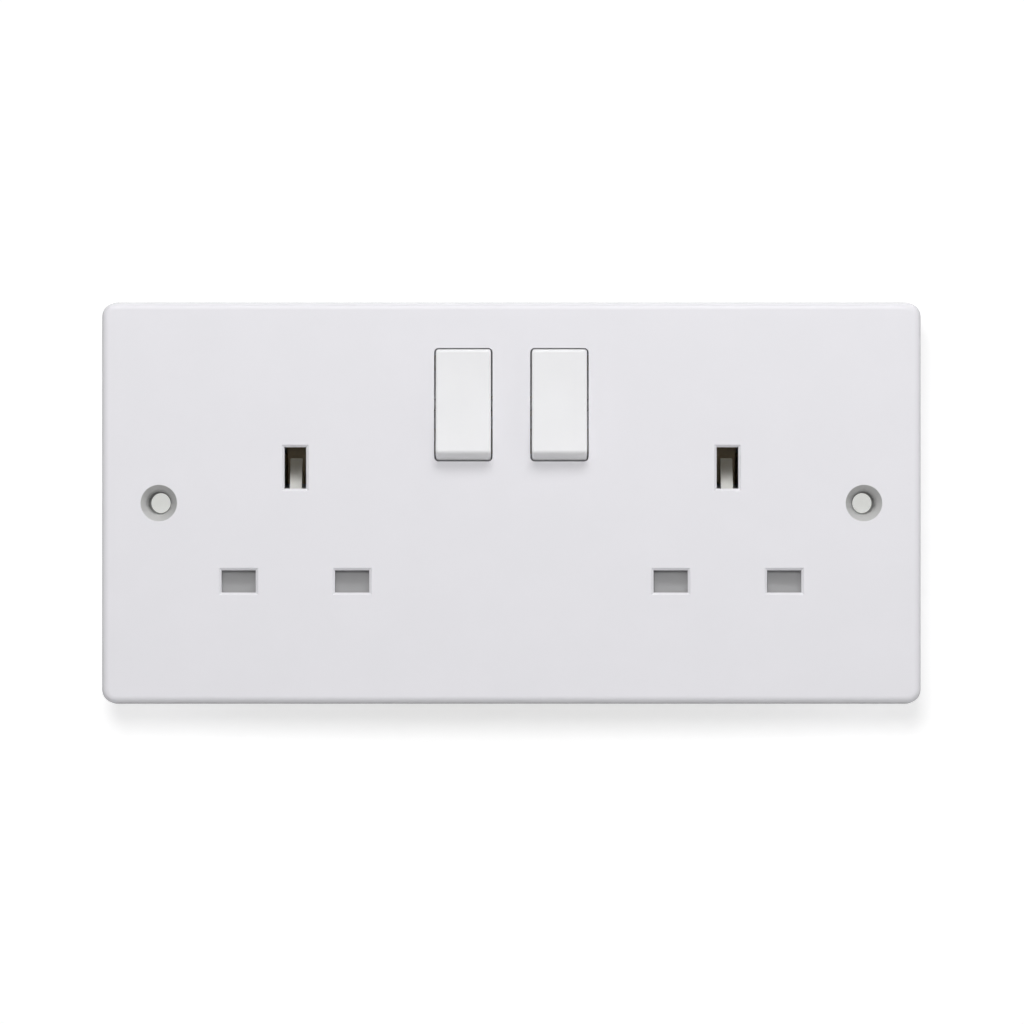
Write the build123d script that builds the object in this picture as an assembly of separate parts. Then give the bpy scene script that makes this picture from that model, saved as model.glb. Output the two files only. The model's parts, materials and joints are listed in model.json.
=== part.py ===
from build123d import *
import os
from math import cos, radians, sin, sqrt

os.makedirs("parts", exist_ok=True)

# Double switched wall socket: two shuttered three-pin outlets and two rockers on one plate.
# The back rim of the plate lies on the wall, in the plane y = 0, and the plate faces -Y.
# +X is to the right and +Z is up, as it hangs on a wall. Sizes are in millimetres.

# Front plate
PLATE_WIDTH = 161.2
PLATE_HEIGHT = 79.2
PLATE_DEPTH = 9.5
FACE_WALL = 2.5
RIM_WALL = 2.2
DRAFT_DEG = 3.0
EDGE_RADIUS = 1.4
CORNER_RADIUS = 3.1
RIB_WALL = 1.2
RIB_DEPTH = 3.5
RIB_RELIEF = 0.9
INNER_CORNER = 1.55
THROUGH = 1.0

# Fixing holes, one at each end of the plate
FIXING_SPACING = 138.0
FIXING_BORE = 4.0
FIXING_MOUTH = 7.2
FIXING_SEAT = 5.2
FIXING_CONE_DEPTH = 1.8
FIXING_TAPER_DEPTH = 6.2
FIXING_BOSS_RADIUS = 4.8
WALL_RELIEF = 0.3

# Pin slots: earth above, neutral below left and line below right
SOCKET_SPACING = 84.6
EARTH_Z = 6.88
PIN_SPACING = 22.23
PIN_ROW_DROP = 22.23
SLOT_WIDTH = 6.7
SLOT_HEIGHT = 4.35
EARTH_SLOT_WIDTH = 4.25
EARTH_SLOT_HEIGHT = 8.1
SLOT_LEAD_IN = 0.5
PIN_HEIGHT = 4.0
PIN_LENGTH = 17.7
EARTH_PIN_WIDTH = 4.0
EARTH_PIN_HEIGHT = 8.0
EARTH_PIN_LENGTH = 22.7

# Rockers
ROCKER_SPACING = 18.8
ROCKER_Z = 19.25
APERTURE_WIDTH = 11.42
APERTURE_HEIGHT = 22.2
ROCKER_GAP = 0.28
ROCKER_CORNER = 0.9
ROCKER_EDGE = 0.35
ROCKER_PROUD = 1.8
ROCKER_DISH = 0.5
ROCKER_TILT_DEG = 7.5
PIVOT_BEHIND_FACE = 3.2
ROCKER_BACK = 3.0
ROCKER_WALL = 1.3
ROCKER_FRONT_WALL = 1.6
ARC_MIDDLE_DEG = 80.0
TRUNNION_RADIUS = 1.2
TRUNNION_LENGTH = 1.3
JOURNAL_CLEARANCE = 0.06
EAR_WALL = 1.6
BOSS_RADIUS = 2.7
JOURNAL_PINCH = 0.15

# Sprung plungers in the rockers
PLUNGER_RADIUS = 1.5
PLUNGER_LENGTH = 6.0
PLUNGER_PROUD = 3.46
PLUNGER_FLOOR = 1.6
PLUNGER_CLEARANCE = 0.06
PLUNGER_GAP = 0.15
PLUNGER_SPRING_RADIUS = 1.3
PLUNGER_SPRING_WIRE = 0.35
PLUNGER_SPRING_TURNS = 4

# Switch blades and their contact buttons
BLADE_WIDTH = 6.0
BLADE_THICKNESS = 1.0
BLADE_CORNER = 1.5
BLADE_TILT_DEG = 10.0
BLADE_UPPER_ARM = 10.2
BLADE_LOWER_ARM = 8.4
EAR_PIN_RADIUS = 0.7
CRADLE_WALL = 0.8
CRADLE_GAP = 0.3
CRADLE_HEIGHT = 4.4
TIP_ARM = 8.6
TIP_RADIUS = 1.4
TIP_THICKNESS = 0.7
TIP_DOME = 4.0
CONTACT_GAP = 0.05

# Metal strips, jaws and the layers that they lie in
STRIP_THICKNESS = 0.8
BAR_THICKNESS = 1.0
STRIP_WIDTH = 3.0
BAR_WIDTH = 4.0
EARTH_BAR_WIDTH = 5.0
LAYER_GAP = 1.6
LINE_TURN_RISE = 6.0
LINE_DROP_OFFSET = 11.3
LINE_STEM_RISE = 8.0
PIN_TIP_CLEARANCE = 0.6
EARTH_TIP_CLEARANCE = 0.2
JAW_WIDTH = 5.5
JAW_MOUTH_BEHIND_FACE = 9.7
JAW_PINCH_DEPTH = 2.8
JAW_GRIP = 0.3
JAW_FLARE = 0.9
EARTH_MOUTH_BEHIND_FACE = 7.5
EARTH_JAW_HEIGHT = 6.0
EARTH_JAW_FLARE = 0.7
EARTH_JAW_TAB = 5.0
RIVET_RADIUS = 0.8
RIVET_HEAD_RADIUS = 1.4
RIVET_HEAD = 0.4

# Shutters
SHUTTER_THICKNESS = 1.7
SHUTTER_GAP = 0.3
SHUTTER_OVERLAP = 1.3
STOP_LENGTH = 3.6
STEM_RIB_DROP = 3.6
STEM_WIDTH = 4.0
RAMP_WIDTH = 2.35
RAMP_START_BEHIND_FACE = 3.0
RAMP_RUN = 4.8
RAMP_TOP = 1.6
RAMP_EASE = 0.4
RAMP_WEB = 2.0
SHUTTER_BOSS_WIDTH = 5.2
SHUTTER_BOSS_HEIGHT = 3.4
SPRING_PEG_RADIUS = 1.1
SPRING_PEG_LENGTH = 1.5
SPRING_FACE_GAP = 0.15
SHUTTER_SPRING_RADIUS = 1.9
SHUTTER_SPRING_WIRE = 0.45
SHUTTER_SPRING_TURNS = 6

# Rear housing
HOUSING_WIDTH = 123.0
ROCKER_TO_HOUSING = 0.678
HOUSING_WALL = 1.8
HOUSING_CHAMFER = 0.9
HOUSING_CORNER = 3.5
BACK_WALL = 2.0
EARTH_SEAT_HEIGHT = 0.6
POCKET_WALL = 1.2
POCKET_GAP = 0.5
CHANNEL_GAP = 0.3
SEAT_WIDTH = 4.6
SEAT_WALL = 1.6

# Screws and posts at the corners of the housing
POST_INSET_X = 2.4
POST_INSET_Z = 2.8
PILOT_FLOOR = 1.0
POST_RADIUS = 3.2
POST_LENGTH = 9.0
TUBE_RADIUS = 3.9
TUBE_WEB = 4.0
SCREW_RADIUS = 1.35
SCREW_CLEARANCE = 0.05
SCREW_HEAD_RADIUS = 2.8
SCREW_HEAD = 2.0
SCREW_LENGTH = 11.0
CROSS_LENGTH = 2.8
CROSS_WIDTH = 0.7
CROSS_DEPTH = 1.0

# Terminals along the bottom, from left to right
TERMINAL_X = {"left_earth": -21.0, "neutral": -7.0, "line": 7.0, "right_earth": 21.0}
TERMINAL_WIDTH = 8.0
TERMINAL_HEIGHT = 10.6
TERMINAL_DEPTH = 8.5
TERMINAL_FOOT_GAP = 0.4
TERMINAL_SLOT_DEPTH = 2.5
TERMINAL_EDGE = 0.4
BARRIER_PROUD = 2.0
BARRIER_GAP = 2.4
TERMINAL_BLOCK_GAP = 0.15
WIRE_BORE_RADIUS = 2.0
WIRE_BORE_LENGTH = 7.4
WIRE_PORT_RADIUS = 2.8
WIRE_OFFSET = 0.5
CLAMP_SCREW_RADIUS = 1.7
CLAMP_SCREW_CLEARANCE = 0.06
CLAMP_HEAD_RADIUS = 3.0
CLAMP_HEAD_GAP = 0.3
ACCESS_GAP = 0.4
DRIVER_SLOT_WIDTH = 0.8
DRIVER_SLOT_DEPTH = 1.0

# Depths worked out from the sizes above, as y
FACE_Y = -PLATE_DEPTH
FACE_BACK_Y = FACE_Y + FACE_WALL
PIVOT_Y = FACE_Y + PIVOT_BEHIND_FACE
SHUTTER_FRONT_Y = FACE_BACK_Y + SHUTTER_GAP
SHUTTER_BACK_Y = SHUTTER_FRONT_Y + SHUTTER_THICKNESS
GUIDE_Y = SHUTTER_BACK_Y + SHUTTER_GAP
LINE_LAYER_Y = FACE_Y + PIN_LENGTH + PIN_TIP_CLEARANCE
NEUTRAL_LAYER_Y = LINE_LAYER_Y + STRIP_THICKNESS + LAYER_GAP
LINE_BACK_Y = LINE_LAYER_Y + STRIP_THICKNESS
NEUTRAL_BACK_Y = NEUTRAL_LAYER_Y + BAR_THICKNESS
EARTH_PIN_TIP_Y = FACE_Y + EARTH_PIN_LENGTH + EARTH_TIP_CLEARANCE
EARTH_LAYER_Y = max(EARTH_PIN_TIP_Y + STRIP_THICKNESS, NEUTRAL_BACK_Y + LAYER_GAP)
EARTH_BACK_Y = EARTH_LAYER_Y + BAR_THICKNESS
HOUSING_FLOOR_Y = EARTH_BACK_Y + EARTH_SEAT_HEIGHT
HOUSING_BACK_Y = HOUSING_FLOOR_Y + BACK_WALL
TERMINAL_BACK_Y = EARTH_LAYER_Y
TERMINAL_FRONT_Y = TERMINAL_BACK_Y - TERMINAL_DEPTH
WIRE_Y = TERMINAL_FRONT_Y + TERMINAL_DEPTH / 2 - WIRE_OFFSET
SPRING_Y = FACE_BACK_Y + SHUTTER_GAP + SHUTTER_SPRING_RADIUS + SPRING_FACE_GAP

# Heights and reaches worked out from the sizes above, as z
PIN_ROW_Z = EARTH_Z - PIN_ROW_DROP
APERTURE_RADIUS = sqrt((APERTURE_HEIGHT / 2) ** 2 + PIVOT_BEHIND_FACE**2)
ROCKER_RADIUS = APERTURE_RADIUS - ROCKER_GAP
HOUSING_INNER_Z = ROCKER_Z + ROCKER_RADIUS + ROCKER_TO_HOUSING
HOUSING_OUTER_Z = HOUSING_INNER_Z + HOUSING_WALL
HOUSING_INNER_X = HOUSING_WIDTH / 2 - HOUSING_WALL
POST_X = HOUSING_INNER_X - POST_INSET_X
POST_Z = HOUSING_INNER_Z - POST_INSET_Z
TERMINAL_FOOT_Z = -HOUSING_INNER_Z + TERMINAL_FOOT_GAP
TERMINAL_TOP_Z = TERMINAL_FOOT_Z + TERMINAL_HEIGHT
TERMINAL_BLOCK_X = max(TERMINAL_X.values()) + TERMINAL_WIDTH / 2 + BARRIER_GAP + POCKET_WALL
SHUTTER_HALF = SLOT_HEIGHT / 2 + SHUTTER_OVERLAP
SHUTTER_TRAVEL = SLOT_HEIGHT + SHUTTER_OVERLAP + SHUTTER_GAP
SHUTTER_HALF_WIDTH = PIN_SPACING / 2 + SLOT_WIDTH / 2 + SHUTTER_OVERLAP
SHUTTER_FOOT_Z = PIN_ROW_Z - SHUTTER_HALF
EARTH_PIN_FOOT_Z = EARTH_Z - EARTH_PIN_HEIGHT / 2
EARTH_BAR_Z = EARTH_Z + EARTH_JAW_HEIGHT / 2 + EARTH_JAW_TAB / 2
LINE_TURN_Z = EARTH_Z + EARTH_PIN_HEIGHT / 2 + LINE_TURN_RISE
FIXED_TIP_Z = ROCKER_Z + TIP_ARM

# The switch: how far its blade reaches back at ON, and where its pivot has to be for that
BLADE_TILT = radians(BLADE_TILT_DEG)
TIP_APEX = BLADE_THICKNESS / 2 + TIP_THICKNESS
TIP_REACH = (TIP_APEX - TIP_DOME) * cos(BLADE_TILT) + TIP_ARM * sin(BLADE_TILT) + TIP_DOME
BLADE_Y = LINE_LAYER_Y - TIP_THICKNESS - CONTACT_GAP - TIP_REACH
PLUNGER_TIP = BLADE_Y - BLADE_THICKNESS / 2 - PLUNGER_GAP - PIVOT_Y
BOSS_REACH = PLUNGER_TIP - PLUNGER_PROUD

SIDES = {"left": -1, "right": 1}


def socket_x(side):
    """The middle of an outlet."""
    return SIDES[side] * SOCKET_SPACING / 2


def rocker_x(side):
    """The middle of a rocker."""
    return SIDES[side] * ROCKER_SPACING / 2


def face_plane(y):
    """A sketch plane at depth y that looks out of the wall, with Z up."""
    return Plane(origin=(0, y, 0), x_dir=(1, 0, 0), z_dir=(0, -1, 0))


def block(x, y, z):
    """A box between three (low, high) pairs."""
    sizes = [high - low for low, high in (x, y, z)]
    middle = [(high + low) / 2 for low, high in (x, y, z)]
    return Pos(*middle) * Box(*sizes)


def rod_x(radius, x, y, z):
    """A round bar along X between the (low, high) pair x."""
    return Pos((x[0] + x[1]) / 2, y, z) * Rot(0, 90, 0) * Cylinder(radius, x[1] - x[0])


def rod_y(radius, x, y, z):
    """A round bar along Y between the (low, high) pair y."""
    return Pos(x, (y[0] + y[1]) / 2, z) * Rot(90, 0, 0) * Cylinder(radius, y[1] - y[0])


def rod_z(radius, x, y, z):
    """A round bar along Z between the (low, high) pair z."""
    return Pos(x, y, (z[0] + z[1]) / 2) * Cylinder(radius, z[1] - z[0])


def turned(points):
    """A body of revolution about Y, from (radius, y) points."""
    return revolve(make_face(Polyline(*points, close=True)), axis=Axis.Y)


def route(points, width):
    """A flat strip's outline: bars of one width that join the points at square corners."""
    outline = Sketch()
    for (x0, z0), (x1, z1) in zip(points, points[1:]):
        size = (abs(x1 - x0) + width, abs(z1 - z0) + width)
        outline += Pos((x0 + x1) / 2, (z0 + z1) / 2) * Rectangle(*size)
    return outline


def layer(outline, front_y, thickness):
    """A flat piece of metal whose front is at front_y."""
    return extrude(face_plane(front_y + thickness) * outline, amount=thickness)


def spring(radius, wire, turns, length):
    """A coil of square wire along Z that just clears the planes z = 0 and z = length."""
    run = length - 2 * wire
    path = Helix(pitch=run / turns, height=run, radius=radius - wire / 2)
    section = Plane(origin=path @ 0, z_dir=path % 0) * Rectangle(wire, wire)
    return Pos(0, 0, wire) * sweep(section, path=path, is_frenet=True)


# Front plate

def pin_slot(width, height, x, z):
    """The cut for one pin: a straight slot with a sloping lead-in at the face."""
    mouth = face_plane(FACE_Y) * Rectangle(width + 2 * SLOT_LEAD_IN, height + 2 * SLOT_LEAD_IN)
    throat = face_plane(FACE_Y + SLOT_LEAD_IN) * Rectangle(width, height)
    depth = FACE_WALL - SLOT_LEAD_IN / 2
    straight = extrude(face_plane(FACE_BACK_Y) * Rectangle(width, height), amount=depth)
    return Pos(x, 0, z) * (loft([mouth, throat], ruled=True) + straight)


def fixing_hole():
    """The stepped countersink of a fixing hole, about Y."""
    cone_y = FACE_Y + FIXING_CONE_DEPTH
    return turned([
        (0, FACE_Y),
        (FIXING_MOUTH / 2, FACE_Y),
        (FIXING_SEAT / 2, cone_y),
        (FIXING_BORE / 2, FACE_Y + FIXING_TAPER_DEPTH),
        (FIXING_BORE / 2, 0),
        (0, 0),
    ])


def rocker_aperture(x):
    """The opening for a rocker: its ends are arcs about the rocker's pivot."""
    half = APERTURE_WIDTH / 2
    drum = rod_x(APERTURE_RADIUS, (x - half, x + half), PIVOT_Y, ROCKER_Z)
    drum = fillet(drum.edges().filter_by(GeomType.CIRCLE), ROCKER_CORNER)
    return drum & block((x - half, x + half), (FACE_Y - THROUGH, FACE_BACK_Y), (0, PLATE_HEIGHT))


def rocker_ears(x):
    """Two ears behind the face with snap-in journals for a rocker's trunnions."""
    near = APERTURE_WIDTH / 2
    half = TRUNNION_RADIUS + RIB_WALL
    ears = [
        block(span, (FACE_BACK_Y, PIVOT_Y + half), (ROCKER_Z - half, ROCKER_Z + half))
        for span in ((x - near - EAR_WALL, x - near), (x + near, x + near + EAR_WALL))
    ]
    return Part() + ears


def rocker_journals(x):
    """The cut for a rocker's trunnions, with a throat that they snap through from behind."""
    reach = APERTURE_WIDTH / 2 + TRUNNION_LENGTH + JOURNAL_CLEARANCE
    span = (x - reach, x + reach)
    throat = TRUNNION_RADIUS - JOURNAL_PINCH
    ear_end = PIVOT_Y + TRUNNION_RADIUS + RIB_WALL
    hole = rod_x(TRUNNION_RADIUS + JOURNAL_CLEARANCE, span, PIVOT_Y, ROCKER_Z)
    return hole + block(span, (PIVOT_Y, ear_end + THROUGH), (ROCKER_Z - throat, ROCKER_Z + throat))


def shutter_guides(x):
    """Ribs that a shutter slides between, with the stops for its top edge."""
    ribs = []
    edge = SHUTTER_HALF_WIDTH + SHUTTER_GAP
    top = PIN_ROW_Z + SHUTTER_HALF + SHUTTER_GAP
    foot = SHUTTER_FOOT_Z - SHUTTER_TRAVEL
    depth = (FACE_BACK_Y, SHUTTER_BACK_Y)
    beside_stem = STEM_WIDTH / 2 + SHUTTER_GAP
    for way in (-1, 1):
        rib = sorted((x + way * edge, x + way * (edge + RIB_WALL)))
        stop = sorted((x + way * (edge - STOP_LENGTH), x + way * (edge + RIB_WALL)))
        stem = sorted((x + way * beside_stem, x + way * (beside_stem + RIB_WALL)))
        ribs.append(block(rib, depth, (foot, top + RIB_WALL)))
        ribs.append(block(stop, depth, (top, top + RIB_WALL)))
        ribs.append(block(stem, depth, (top + RIB_WALL, EARTH_PIN_FOOT_Z - STEM_RIB_DROP)))
    return ribs


def front_plate():
    """The moulded plate: a drafted shell with its slots, bosses, ribs and screw posts."""
    shell = extrude(
        face_plane(0) * RectangleRounded(PLATE_WIDTH, PLATE_HEIGHT, CORNER_RADIUS),
        amount=PLATE_DEPTH, taper=DRAFT_DEG,
    )
    shell = fillet(shell.faces().sort_by(Axis.Y)[0].edges(), EDGE_RADIUS)
    shell -= extrude(
        face_plane(0) * RectangleRounded(
            PLATE_WIDTH - 2 * RIM_WALL, PLATE_HEIGHT - 2 * RIM_WALL, INNER_CORNER
        ),
        amount=PLATE_DEPTH - FACE_WALL, taper=DRAFT_DEG,
    )
    added, cuts = [], []
    for way in (-1, 1):
        x = way * FIXING_SPACING / 2
        rim = way * (PLATE_WIDTH / 2 - RIM_WALL)
        added.append(rod_y(FIXING_BOSS_RADIUS, x, (FACE_BACK_Y, -WALL_RELIEF), 0))
        added.append(block(sorted((x, rim)), (FACE_BACK_Y, -RIB_RELIEF), (-RIB_WALL / 2, RIB_WALL / 2)))
        rib_end = PLATE_HEIGHT / 2 - RIM_WALL
        added.append(block(
            (x - RIB_WALL / 2, x + RIB_WALL / 2), (FACE_BACK_Y, FACE_BACK_Y + RIB_DEPTH), (-rib_end, rib_end)
        ))
        cuts.append(Pos(x, 0, 0) * fixing_hole())
        for z in (-POST_Z, POST_Z):
            post_end = FACE_BACK_Y + POST_LENGTH
            added.append(rod_y(POST_RADIUS, way * POST_X, (FACE_BACK_Y, post_end), z))
            pilot = (FACE_BACK_Y + PILOT_FLOOR, post_end + THROUGH)
            cuts.append(rod_y(SCREW_RADIUS + SCREW_CLEARANCE, way * POST_X, pilot, z))
    for side in SIDES:
        x = socket_x(side)
        added += shutter_guides(x)
        added.append(rocker_ears(rocker_x(side)))
        cuts.append(rocker_aperture(rocker_x(side)))
        cuts.append(rocker_journals(rocker_x(side)))
        cuts.append(pin_slot(EARTH_SLOT_WIDTH, EARTH_SLOT_HEIGHT, x, EARTH_Z))
        for way in (-1, 1):
            cuts.append(pin_slot(SLOT_WIDTH, SLOT_HEIGHT, x + way * PIN_SPACING / 2, PIN_ROW_Z))
    return shell + added - cuts


# Rockers, their plungers and springs, made upright about the pivot

def rocker_side(inset, front_inset, back):
    """A rocker's side view: arcs about the pivot joined by the dished front."""
    radius = ROCKER_RADIUS - inset
    front = -(PIVOT_BEHIND_FACE + ROCKER_PROUD) + front_inset
    top_front = (front, sqrt(radius**2 - front**2))
    top_back = (back, sqrt(radius**2 - back**2))
    over = (-radius * cos(radians(ARC_MIDDLE_DEG)), radius * sin(radians(ARC_MIDDLE_DEG)))
    flip = [(y, -z) for y, z in (top_front, top_back, over)]
    edges = [
        ThreePointArc(top_front, over, top_back),
        Line(top_back, flip[1]),
        ThreePointArc(flip[1], flip[2], flip[0]),
        ThreePointArc(flip[0], (front + ROCKER_DISH, 0), top_front),
    ]
    return Plane.YZ * make_face(edges)


def rocker():
    """A hollow rocker with trunnions and a boss that holds its plunger."""
    width = APERTURE_WIDTH - 2 * ROCKER_GAP
    body = extrude(rocker_side(0, 0, ROCKER_BACK), amount=width / 2, both=True)
    sides = body.faces().filter_by(Axis.X).edges()
    ends = [e for e in sides if abs(e.center().Z) > ROCKER_RADIUS / 2]
    body = fillet(ends, ROCKER_CORNER - ROCKER_GAP)
    front = body.faces().filter_by(GeomType.CYLINDER).sort_by(Axis.Y)[0]
    body = chamfer(front.edges(), ROCKER_EDGE)
    hollow = rocker_side(ROCKER_WALL, ROCKER_FRONT_WALL, ROCKER_BACK + THROUGH)
    body -= extrude(hollow, amount=width / 2 - ROCKER_WALL, both=True)
    wall_y = -(PIVOT_BEHIND_FACE + ROCKER_PROUD) + ROCKER_DISH + ROCKER_FRONT_WALL / 2
    body += rod_y(BOSS_RADIUS, 0, (wall_y, BOSS_REACH), 0)
    for way in (-1, 1):
        reach = APERTURE_WIDTH / 2 + TRUNNION_LENGTH
        body += rod_x(TRUNNION_RADIUS, sorted((way * (width / 2 - ROCKER_WALL), way * reach)), 0, 0)
    bore = (plunger_bore_y(), BOSS_REACH + THROUGH)
    return body - rod_y(PLUNGER_RADIUS + PLUNGER_CLEARANCE, 0, bore, 0)


def plunger_bore_y():
    """The closed end of the bore in a rocker's boss."""
    return ROCKER_DISH + ROCKER_FRONT_WALL + PLUNGER_FLOOR - PIVOT_BEHIND_FACE - ROCKER_PROUD


def plunger():
    """A round pin with a domed tip."""
    shoulder = PLUNGER_TIP - PLUNGER_RADIUS
    pin = rod_y(PLUNGER_RADIUS, 0, (PLUNGER_TIP - PLUNGER_LENGTH, shoulder), 0)
    return pin + Pos(0, shoulder, 0) * Sphere(PLUNGER_RADIUS)


def plunger_spring():
    """The spring between the closed end of the bore and the plunger."""
    length = PLUNGER_TIP - PLUNGER_LENGTH - plunger_bore_y()
    coil = spring(PLUNGER_SPRING_RADIUS, PLUNGER_SPRING_WIRE, PLUNGER_SPRING_TURNS, length)
    return Pos(0, plunger_bore_y(), 0) * Rot(-90, 0, 0) * coil


def at_rocker(shape, side):
    """A shape made about the pivot, set in place and tilted to OFF."""
    return Pos(rocker_x(side), PIVOT_Y, ROCKER_Z) * Rot(-ROCKER_TILT_DEG, 0, 0) * shape


# Switch blades, made upright about their pivot

def switch_blade():
    """A see-saw blade with a round pin on each side."""
    half = BLADE_THICKNESS / 2
    side = BLADE_WIDTH / 2
    arm = block((-side, side), (-half, half), (-BLADE_LOWER_ARM, BLADE_UPPER_ARM))
    arm = fillet(arm.edges().filter_by(Axis.Y), BLADE_CORNER)
    root = BLADE_WIDTH / 2 - CRADLE_WALL
    tip = BLADE_WIDTH / 2 + CRADLE_GAP + CRADLE_WALL
    return arm + [rod_x(EAR_PIN_RADIUS, span, 0, 0) for span in ((-tip, -root), (root, tip))]


def moving_tip():
    """The domed contact button on the back of the blade's upper arm."""
    half = BLADE_THICKNESS / 2
    button = rod_y(TIP_RADIUS, 0, (half, TIP_APEX), TIP_ARM)
    return button & (Pos(0, TIP_APEX - TIP_DOME, TIP_ARM) * Sphere(TIP_DOME))


def at_blade(shape, side):
    """A shape made about the blade's pivot, set in place and tilted to OFF."""
    return Pos(rocker_x(side), BLADE_Y, ROCKER_Z) * Rot(BLADE_TILT_DEG, 0, 0) * shape


def fixed_tip(side):
    """The flat contact button in front of the line contact's seat."""
    depth = (LINE_LAYER_Y - TIP_THICKNESS, LINE_LAYER_Y)
    return rod_y(TIP_RADIUS, rocker_x(side), depth, FIXED_TIP_Z)


# Shutters and their springs

def shutter(side):
    """A shutter: its blank, a stem, the ramp that the earth pin presses and the spring's seat."""
    x = socket_x(side)
    depth = (SHUTTER_FRONT_Y, SHUTTER_BACK_Y)
    blank = block(
        (x - SHUTTER_HALF_WIDTH, x + SHUTTER_HALF_WIDTH), depth, (SHUTTER_FOOT_Z, PIN_ROW_Z + SHUTTER_HALF)
    )
    toe_z = EARTH_PIN_FOOT_Z - RAMP_TOP
    stem = block((x - STEM_WIDTH / 2, x + STEM_WIDTH / 2), depth, (PIN_ROW_Z, toe_z))
    start = FACE_Y + RAMP_START_BEHIND_FACE
    top = EARTH_PIN_FOOT_Z + SHUTTER_TRAVEL
    ramp = make_face(Polyline(
        (SHUTTER_FRONT_Y, toe_z - RAMP_TOP),
        (SHUTTER_FRONT_Y, toe_z),
        (start, EARTH_PIN_FOOT_Z - RAMP_EASE),
        (start + RAMP_RUN, top),
        (start + RAMP_RUN + RAMP_TOP, top),
        (start + RAMP_RUN + RAMP_TOP, top - RAMP_WEB),
        (start + RAMP_TOP, toe_z - RAMP_WEB),
        (SHUTTER_BACK_Y, toe_z - 2 * RAMP_WEB),
        (SHUTTER_FRONT_Y, toe_z - 2 * RAMP_WEB),
        close=True,
    ))
    ramp = Pos(x, 0, 0) * extrude(Plane.YZ * ramp, amount=RAMP_WIDTH / 2, both=True)
    boss = block(
        (x - SHUTTER_BOSS_WIDTH / 2, x + SHUTTER_BOSS_WIDTH / 2),
        (SHUTTER_FRONT_Y, SPRING_Y + SHUTTER_SPRING_RADIUS),
        (SHUTTER_FOOT_Z, SHUTTER_FOOT_Z + SHUTTER_BOSS_HEIGHT),
    )
    peg = rod_z(SPRING_PEG_RADIUS, x, SPRING_Y, (SHUTTER_FOOT_Z - SPRING_PEG_LENGTH, SHUTTER_FOOT_Z))
    return blank + stem + ramp + boss + peg


def shutter_spring(side):
    """The spring between the housing's bottom wall and a shutter."""
    length = SHUTTER_FOOT_Z + HOUSING_INNER_Z
    coil = spring(SHUTTER_SPRING_RADIUS, SHUTTER_SPRING_WIRE, SHUTTER_SPRING_TURNS, length)
    return Pos(socket_x(side), SPRING_Y, -HOUSING_INNER_Z) * coil


# Contacts and bars

def jaw(pin, flare, mouth_y, web_y, width):
    """A folded U whose leaves pinch a pin of this thickness, pin axis along Y, leaves above and below."""
    half = STRIP_THICKNESS / 2
    pinch_y = mouth_y + JAW_PINCH_DEPTH
    narrow = pin / 2 - JAW_GRIP / 2 + half
    wide = narrow + flare
    line = [
        (mouth_y, wide), (pinch_y, narrow), (web_y - 2 * flare, wide), (web_y + half, wide),
        (web_y + half, -wide), (web_y - 2 * flare, -wide), (pinch_y, -narrow), (mouth_y, -wide),
    ]
    path = Plane.YZ * FilletPolyline(*line, radius=STRIP_THICKNESS)
    section = Plane(origin=path @ 0, x_dir=(1, 0, 0), z_dir=path % 0) * Rectangle(width, STRIP_THICKNESS)
    return sweep(section, path=path)


def line_jaw_x(side):
    """The line pin's place in an outlet, to the right as seen from the front."""
    return socket_x(side) + PIN_SPACING / 2


def neutral_jaw_x(side):
    """The neutral pin's place in an outlet, to the left as seen from the front."""
    return socket_x(side) - PIN_SPACING / 2


def line_rise_x(side):
    """Where a line contact's strip climbs past its jaw, on the side away from the plate's end."""
    return line_jaw_x(side) - SIDES[side] * (JAW_WIDTH / 2 + STRIP_WIDTH / 2 + POCKET_GAP / 2)


def line_outline(side):
    """The path of a line contact's strip, from its jaw to its seat behind the blade's tip."""
    rise = line_rise_x(side)
    turn = rocker_x(side) + SIDES[side] * LINE_DROP_OFFSET
    points = [
        (line_jaw_x(side), PIN_ROW_Z), (rise, PIN_ROW_Z), (rise, LINE_TURN_Z), (turn, LINE_TURN_Z),
        (turn, FIXED_TIP_Z), (rocker_x(side), FIXED_TIP_Z),
    ]
    return route(points, STRIP_WIDTH)


def line_contact(side):
    """Jaw, strip and contact seat, stamped and folded as one piece."""
    folded = jaw(PIN_HEIGHT, JAW_FLARE, FACE_Y + JAW_MOUTH_BEHIND_FACE, LINE_LAYER_Y, JAW_WIDTH)
    placed = Pos(line_jaw_x(side), 0, PIN_ROW_Z) * folded
    return placed + layer(line_outline(side), LINE_LAYER_Y, STRIP_THICKNESS)


def neutral_contact(side):
    """A neutral jaw, drilled for its rivet."""
    web_y = NEUTRAL_LAYER_Y - STRIP_THICKNESS
    folded = jaw(PIN_HEIGHT, JAW_FLARE, FACE_Y + JAW_MOUTH_BEHIND_FACE, web_y, JAW_WIDTH)
    x = neutral_jaw_x(side)
    hole = rod_y(RIVET_RADIUS, x, (web_y - THROUGH, NEUTRAL_BACK_Y), PIN_ROW_Z)
    return Pos(x, 0, PIN_ROW_Z) * folded - hole


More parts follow.
